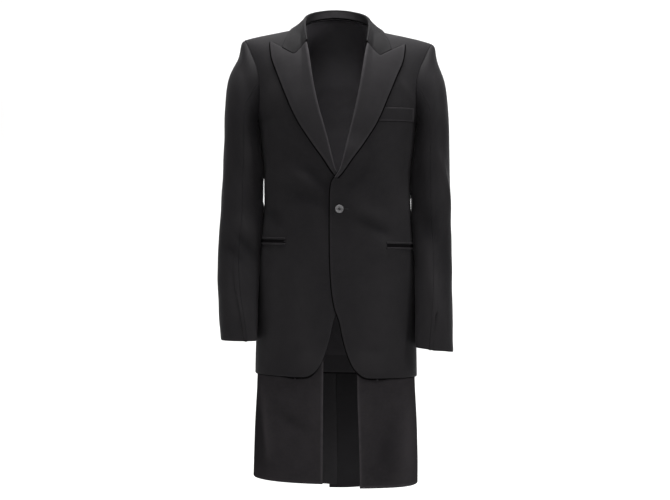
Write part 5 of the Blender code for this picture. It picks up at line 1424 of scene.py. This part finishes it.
def sewRow(name, paths, kind):
    # paths are already hung; the row is turned into a plain mesh at once
    points, links = [], []
    for path in paths:
        start = len(points)
        points += np.asarray(path).tolist()
        links += [(i, i + 1) for i in range(start, len(points) - 1)]
    mesh = bpy.data.meshes.new(name)
    mesh.from_pydata(points, links, [])
    path = addObject(name + "Path", mesh)
    row = path.modifiers.new("sew", "NODES")
    row.node_group = stitchTree
    look = stitches[kind]
    for item in stitchTree.interface.items_tree:
        if item.in_out == "INPUT" and item.name != "Path":
            row[item.identifier] = look[item.name.lower()]
    made = bakedMesh(path)
    path.modifiers.remove(row)
    bpy.data.objects.remove(path)
    made.name = name
    piece = addObject(name, made)
    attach(piece, "root")


def insetPath(grid, column, rows=slice(None)):
    # a line at a distance inside a panel's edge, a little above the cloth
    edge, near = grid[rows, column], grid[rows, column + (1 if column >= 0 else -1)]
    out = gridNormals(grid, awayFromMiddle(grid))[rows, column]
    return edge + unitOf(near - edge) * sewing["inset"] + out * sewing["lift"]


# The button, its thread and its hole

button = {
    "axis": (0.0245, -0.9966, -0.0782), "segments": 56,
    "profile": [(0.0000, -0.0008), (0.0060, -0.0008), (0.0080, -0.0003), (0.0087, 0.0006), (0.0088, 0.0012),
                (0.0084, 0.0020), (0.0076, 0.0024), (0.0068, 0.0022), (0.0061, 0.0015), (0.0052, 0.0011),
                (0.0030, 0.0010), (0.0000, 0.0010)],
    "holeReach": 0.0020, "holeRadius": 0.00115, "turn": 0.6,
    "strandRadius": 0.00028, "strandGap": 0.00045, "strandArch": 0.00035,
    "shankRadius": 0.0014, "shankTurns": 6, "shankLength": 0.0024,
    "dark": (0.060, 0.058, 0.062, 1.0), "light": (0.150, 0.147, 0.150, 1.0),
    "streaks": 150.0, "scratches": 1400.0, "roughSpread": 0.16, "bump": 0.12, "bumpDistance": 0.0001,
    "sink": 0.0004, "drill": (-0.003, 0.004), "drillSides": 14,
    "rough": 0.34, "holeStart": -0.0006, "holeEnd": 0.0232, "holeZ": -0.3902,
}


def hornMaterial():
    # streaked horn with fine scratches
    made, nodes, links, shader = newMaterial("darkHorn")
    add = partial(addNode, nodes, links)
    place = nodes.new("ShaderNodeTexCoord").outputs["Object"]
    moved = add("ShaderNodeMapping", {"Vector": place, "Scale": (1.0, 1.0, 4.0)}).outputs[0]
    streaks = add("ShaderNodeTexNoise", {"Vector": moved, "Scale": button["streaks"], "Detail": 4.0})
    scratches = add("ShaderNodeTexNoise", {"Vector": place, "Scale": button["scratches"]}).outputs["Fac"]
    tint = mixColours(nodes, links, streaks.outputs["Fac"], button["dark"], button["light"])
    links.new(tint, shader.inputs["Base Color"])
    uneven = addMath(nodes, links, "MULTIPLY", scratches, button["roughSpread"])
    rough = addMath(nodes, links, "ADD", uneven, button["rough"] - button["roughSpread"] / 2)
    links.new(rough, shader.inputs["Roughness"])
    addBump(nodes, links, shader, scratches, button["bump"], button["bumpDistance"])
    return made


def latheFaces(count, rings):
    # quads between rings, with a fan at each closed end
    faces = [tuple(range(count))[::-1]]
    for r in range(rings - 1):
        low, high = r * count, (r + 1) * count
        faces += [(low + i, low + (i + 1) % count, high + (i + 1) % count, high + i) for i in range(count)]
    faces.append(tuple((rings - 1) * count + i for i in range(count)))
    return faces


def plainPiece(name, points, faces, material):
    mesh = bpy.data.meshes.new(name)
    mesh.from_pydata(np.asarray(points).tolist(), [], faces)
    mesh.materials.append(material)
    mesh.shade_smooth()
    return addObject(name, mesh)


def turnedPoints(profile, count, centre, u, v, w):
    angle = np.linspace(0, 2 * math.pi, count, endpoint=False)
    ring = np.cos(angle)[:, None] * u + np.sin(angle)[:, None] * v
    return np.concatenate([centre + ring * max(r, 1e-5) + w * h for r, h in profile])


def tube(path, radius, sides=8):
    # a closed round strand along a short path
    path = np.asarray(path)
    along = unitOf(np.gradient(path, axis=0))
    side = unitOf(np.cross(along, np.array([0.31, 0.2, 0.93])))
    up = np.cross(along, side)
    angle = np.linspace(0, 2 * math.pi, sides, endpoint=False)[:, None]
    rings = [p + radius * (np.cos(angle) * a + np.sin(angle) * b) for p, a, b in zip(path, side, up)]
    return np.concatenate(rings), latheFaces(sides, len(path))


def makeButton():
    low, high = (np.array(v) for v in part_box("button"))
    w = unitOf(np.array(button["axis"]))
    u = unitOf(np.cross(np.array([0.0, 0.0, 1.0]), w))
    v = np.cross(w, u)
    centre = (low + high) / 2 - w * button["sink"]
    spin = button["turn"]
    u, v = u * math.cos(spin) + v * math.sin(spin), v * math.cos(spin) - u * math.sin(spin)
    count = button["segments"]
    points = turnedPoints(button["profile"], count, centre, u, v, w)
    piece = plainPiece("coatButton", points, latheFaces(count, len(button["profile"])), hornMaterial())
    corners = [centre + (u * a + v * b) * button["holeReach"] * 0.7071 for a in (-1, 1) for b in (-1, 1)]
    cutPoints, cutFaces = [], []
    for spot in corners:
        ends = [(button["holeRadius"], height) for height in button["drill"]]
        start = len(cutPoints)
        cutPoints += turnedPoints(ends, button["drillSides"], spot, u, v, w).tolist()
        cutFaces += [tuple(i + start for i in f) for f in latheFaces(button["drillSides"], 2)]
    cutter = plainPiece("holeCutter", cutPoints, cutFaces, coatThread)
    for made in (piece, cutter):
        tidy = bmesh.new()
        tidy.from_mesh(made.data)
        bmesh.ops.remove_doubles(tidy, verts=tidy.verts, dist=1e-5)
        bmesh.ops.recalc_face_normals(tidy, faces=tidy.faces)
        tidy.to_mesh(made.data)
        tidy.free()
    drill = piece.modifiers.new("drill", "BOOLEAN")
    drill.operation = "DIFFERENCE"
    drill.solver = "EXACT"
    drill.object = cutter
    drilled = bakedMesh(piece)
    piece.modifiers.remove(drill)
    piece.data = drilled
    bpy.data.objects.remove(cutter)
    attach(piece, "root")
    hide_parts("button")
    # strands through the holes and the wound shank behind
    points, faces = [], []

    def addTube(path, radius):
        more, made = tube(path, radius)
        faces.extend(tuple(i + len(points) for i in f) for f in made)
        points.extend(more.tolist())

    for pair in ((0, 2), (1, 3)):
        a, b = corners[pair[0]], corners[pair[1]]
        across = unitOf(np.cross(b - a, w))
        for k in (-1, 0, 1):
            shift = across * button["strandGap"] * k * 0.8
            t = np.linspace(0, 1, 11)[:, None]
            arch = np.sin(t * math.pi) ** 0.6
            path = a + (b - a) * t + shift + w * (0.0004 + (0.0008 + button["strandArch"]) * arch)
            path = np.concatenate([[path[0] - w * 0.0012], path, [path[-1] - w * 0.0012]])
            addTube(path, button["strandRadius"])
    t = np.linspace(0, 1, 90)[:, None]
    angle = t * 2 * math.pi * button["shankTurns"]
    coil = centre - w * (0.0008 + button["shankLength"] * t)
    coil = coil + (u * np.cos(angle) + v * np.sin(angle)) * button["shankRadius"] * 0.75
    addTube(coil, 0.0004)
    look = threadMaterial("buttonThread", threadColours["button"], 0.45)
    strands = plainPiece("buttonThread", points, faces, look)
    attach(strands, "root")


def sewCoat():
    leftSkin = skinOf(fronts["Left"])
    for word in ("Left", "Right"):
        rows = slice(2, int(np.argmin(np.abs(fronts[word][:, 0, 2] - coat["breakZ"]))))
        sewRow("edgeStitches" + word, [hang(insetPath(fronts[word], 0, rows))], "prick")
        sewRow("lapelStitches" + word, [hang(insetPath(lapels[word], -1))], "prick")
    sewRow("collarStitches", [hang(insetPath(collarOuter, -1, slice(3, -3)))], "prick")
    seamZ = coat["hemZ"] + lining["hemTurn"] - lining["bandTop"]
    row = int(np.argmin(np.abs(liningInner[:, 0, 2] - seamZ)))
    inward = -gridNormals(liningInner, awayFromMiddle(liningInner))[row]
    sewRow("liningStitches", [hang(liningInner[row] + inward * sewing["lift"])], "slip")
    # the buttonhole: a purled slit, half of it under the button
    paths = []
    x = np.linspace(button["holeStart"], button["holeEnd"], 24)
    for up in (sewing["purlApart"], -sewing["purlApart"]):
        flat = np.stack([x, np.full_like(x, button["holeZ"] + up)], -1)
        paths.append(hang(onFront(leftSkin, 1, flat, np.full_like(x, sewing["lift"]))[0]))
    sewRow("buttonholePurl", paths, "purl")
    # short bars of thread close the ends of the hip pockets
    paths = []
    for word, side in (("left", 1), ("right", -1)):
        place = pocket[word]
        line = mirrorX(alongFront(place["height"], place["start"], pocket["length"], 60), side)
        band = np.stack([line, line + np.array([0, 0, 0.01])])
        n = gridNormals(band, awayFromMiddle(line[None]))[0]
        for a, b in ((0, 3), (56, 59)):
            paths.append(hang(line[a:b] + n[a:b] * sewing["tackLift"]))
    sewRow("pocketTacks", paths, "tack")


# Build the coat

def facingSide(side):
    # wool facing near the front's edge and the hem, lining elsewhere
    def lined(g):
        reach = smoothCurve(frontEdge["height"], frontEdge["reach"], g[..., 2])
        return (np.abs(g[..., 0]) * np.sign(g[..., 0] * side) > reach + jacket["facing"]) & (
            g[..., 2] > coat["hemZ"] + jacket["hemTurn"])
    return lined


fronts, backs, lapels = {}, {}, {}
for word, side in (("Left", 1), ("Right", -1)):
    outer, _, inner = frontGrid(side)
    fronts[word] = outer
    piece = clothPanel("front" + word, outer, inner, "wool", "lining", facingSide(side), folded="front",
                       shaded={"first": cornerShadow(jacket["edgeShadowLine"][word]), "low": hemShadow})
    dress(piece, ["jacket_front_" + word.lower()])
    outer, _, inner = backGrid(side)
    backs[word] = outer
    piece = clothPanel("back" + word, outer, inner, "wool", shaded={"low": jacket["backShadowLine"]},
                       tucked=("last",), folded="back")
    dress(piece, ["jacket_back_" + word.lower()])
print("body ready")
for word, side in (("Left", 1), ("Right", -1)):
    lapels[word] = makeLapel(word, side, fronts[word])
    makeSleeve(word, side, fronts[word], backs[word])
collarOuter = makeCollar(fronts["Left"], backs["Left"])
print("lapels, collar and sleeves ready")
liningInner = makeLining()
makeSkirt()
makePockets(fronts)
print("lining, skirt and pockets ready")
makeButton()
sewCoat()
print("button and stitches ready")


# Studio

studio = {
    "eye": (-0.0044, -3.2, -0.4774), "lens": 78.15,
    "floorZ": -1.16, "floorFront": -6.0, "backdrop": 2.6, "top": 4.0, "width": 3.6, "sweepRadius": 1.2,
    "floorColour": (0.86, 0.86, 0.86, 1.0),
    "world": 0.16, "seenWorld": 1.0,
}
lights = {
    "overhead": {"place": (0.0, -0.30, 1.35), "aim": (0, 0, -0.2), "size": (1.3, 0.5), "power": 58},
    "key": {"place": (2.0, -1.0, 0.6), "aim": (0, 0, -0.5), "size": (0.6, 0.6), "power": 30},
    "sideLeft": {"place": (-2.0, -1.0, -0.1), "aim": (0, 0, -0.45), "size": (0.9, 2.2), "power": 10},
    "front": {"place": (-0.3, -3.6, 0.5), "aim": (0, 0, -0.6), "size": (1.6, 1.2), "power": 20},
    "backdropWash": {"place": (0.0, 1.0, 2.4), "aim": (0, 2.5, -0.6), "size": (3.2, 1.0), "power": 80},
}


def makeStage():
    # floor and backdrop in one soft sweep
    radius, floorZ = studio["sweepRadius"], studio["floorZ"]
    bend = studio["backdrop"] - radius
    profile = [(studio["floorFront"], floorZ), (bend, floorZ)]
    for a in np.linspace(0, math.pi / 2, 14)[1:]:
        profile.append((bend + radius * math.sin(a), floorZ + radius * (1 - math.cos(a))))
    profile.append((studio["backdrop"], studio["top"]))
    half = studio["width"] / 2
    points = [(x, y, z) for y, z in profile for x in (-half, half)]
    faces = [(2 * i, 2 * i + 1, 2 * i + 3, 2 * i + 2) for i in range(len(profile) - 1)]
    mesh = bpy.data.meshes.new("sweep")
    mesh.from_pydata(points, [], faces)
    mesh.shade_smooth()
    paper, nodes, links, shader = newMaterial("paper")
    shader.inputs["Base Color"].default_value = studio["floorColour"]
    shader.inputs["Roughness"].default_value = 0.9
    # clear from behind, so that the coat's back can be seen
    side, clear = nodes.new("ShaderNodeNewGeometry"), nodes.new("ShaderNodeBsdfTransparent")
    mix = addNode(nodes, links, "ShaderNodeMixShader",
                  {0: side.outputs["Backfacing"], 1: shader.outputs[0], 2: clear.outputs[0]})
    links.new(mix.outputs[0], nodes["Material Output"].inputs["Surface"])
    mesh.materials.append(paper)
    sweep = addObject("sweep", mesh)


def addLight(name, place, aim, size, power):
    light = bpy.data.lights.new(name, "AREA")
    light.shape = "RECTANGLE"
    light.size, light.size_y = size
    light.energy = power
    made = addObject(name, light)
    made.location = place
    made.visible_camera = False
    made.rotation_euler = (Vector(aim) - Vector(place)).to_track_quat("-Z", "Y").to_euler()


makeStage()
for name, look in lights.items():
    addLight(name, look["place"], look["aim"], look["size"], look["power"])

world = bpy.data.worlds.new("studio")
world.use_nodes = True
nodes, links = world.node_tree.nodes, world.node_tree.links
nodes["Background"].inputs[0].default_value = (1, 1, 1, 1)
path = nodes.new("ShaderNodeLightPath")
seen = addNode(nodes, links, "ShaderNodeMix",
               {0: path.outputs["Is Camera Ray"], 2: studio["world"], 3: studio["seenWorld"]})
links.new(seen.outputs[0], nodes["Background"].inputs[1])
bpy.context.scene.world = world

camera = bpy.data.cameras.new("camera")
camera.lens = studio["lens"]
camera.sensor_width = 36
eye = addObject("camera", camera)
eye.location = studio["eye"]
eye.rotation_euler = (math.pi / 2, 0, 0)
bpy.context.scene.camera = eye
bpy.context.scene.view_settings.view_transform = "Standard"
print("studio ready")
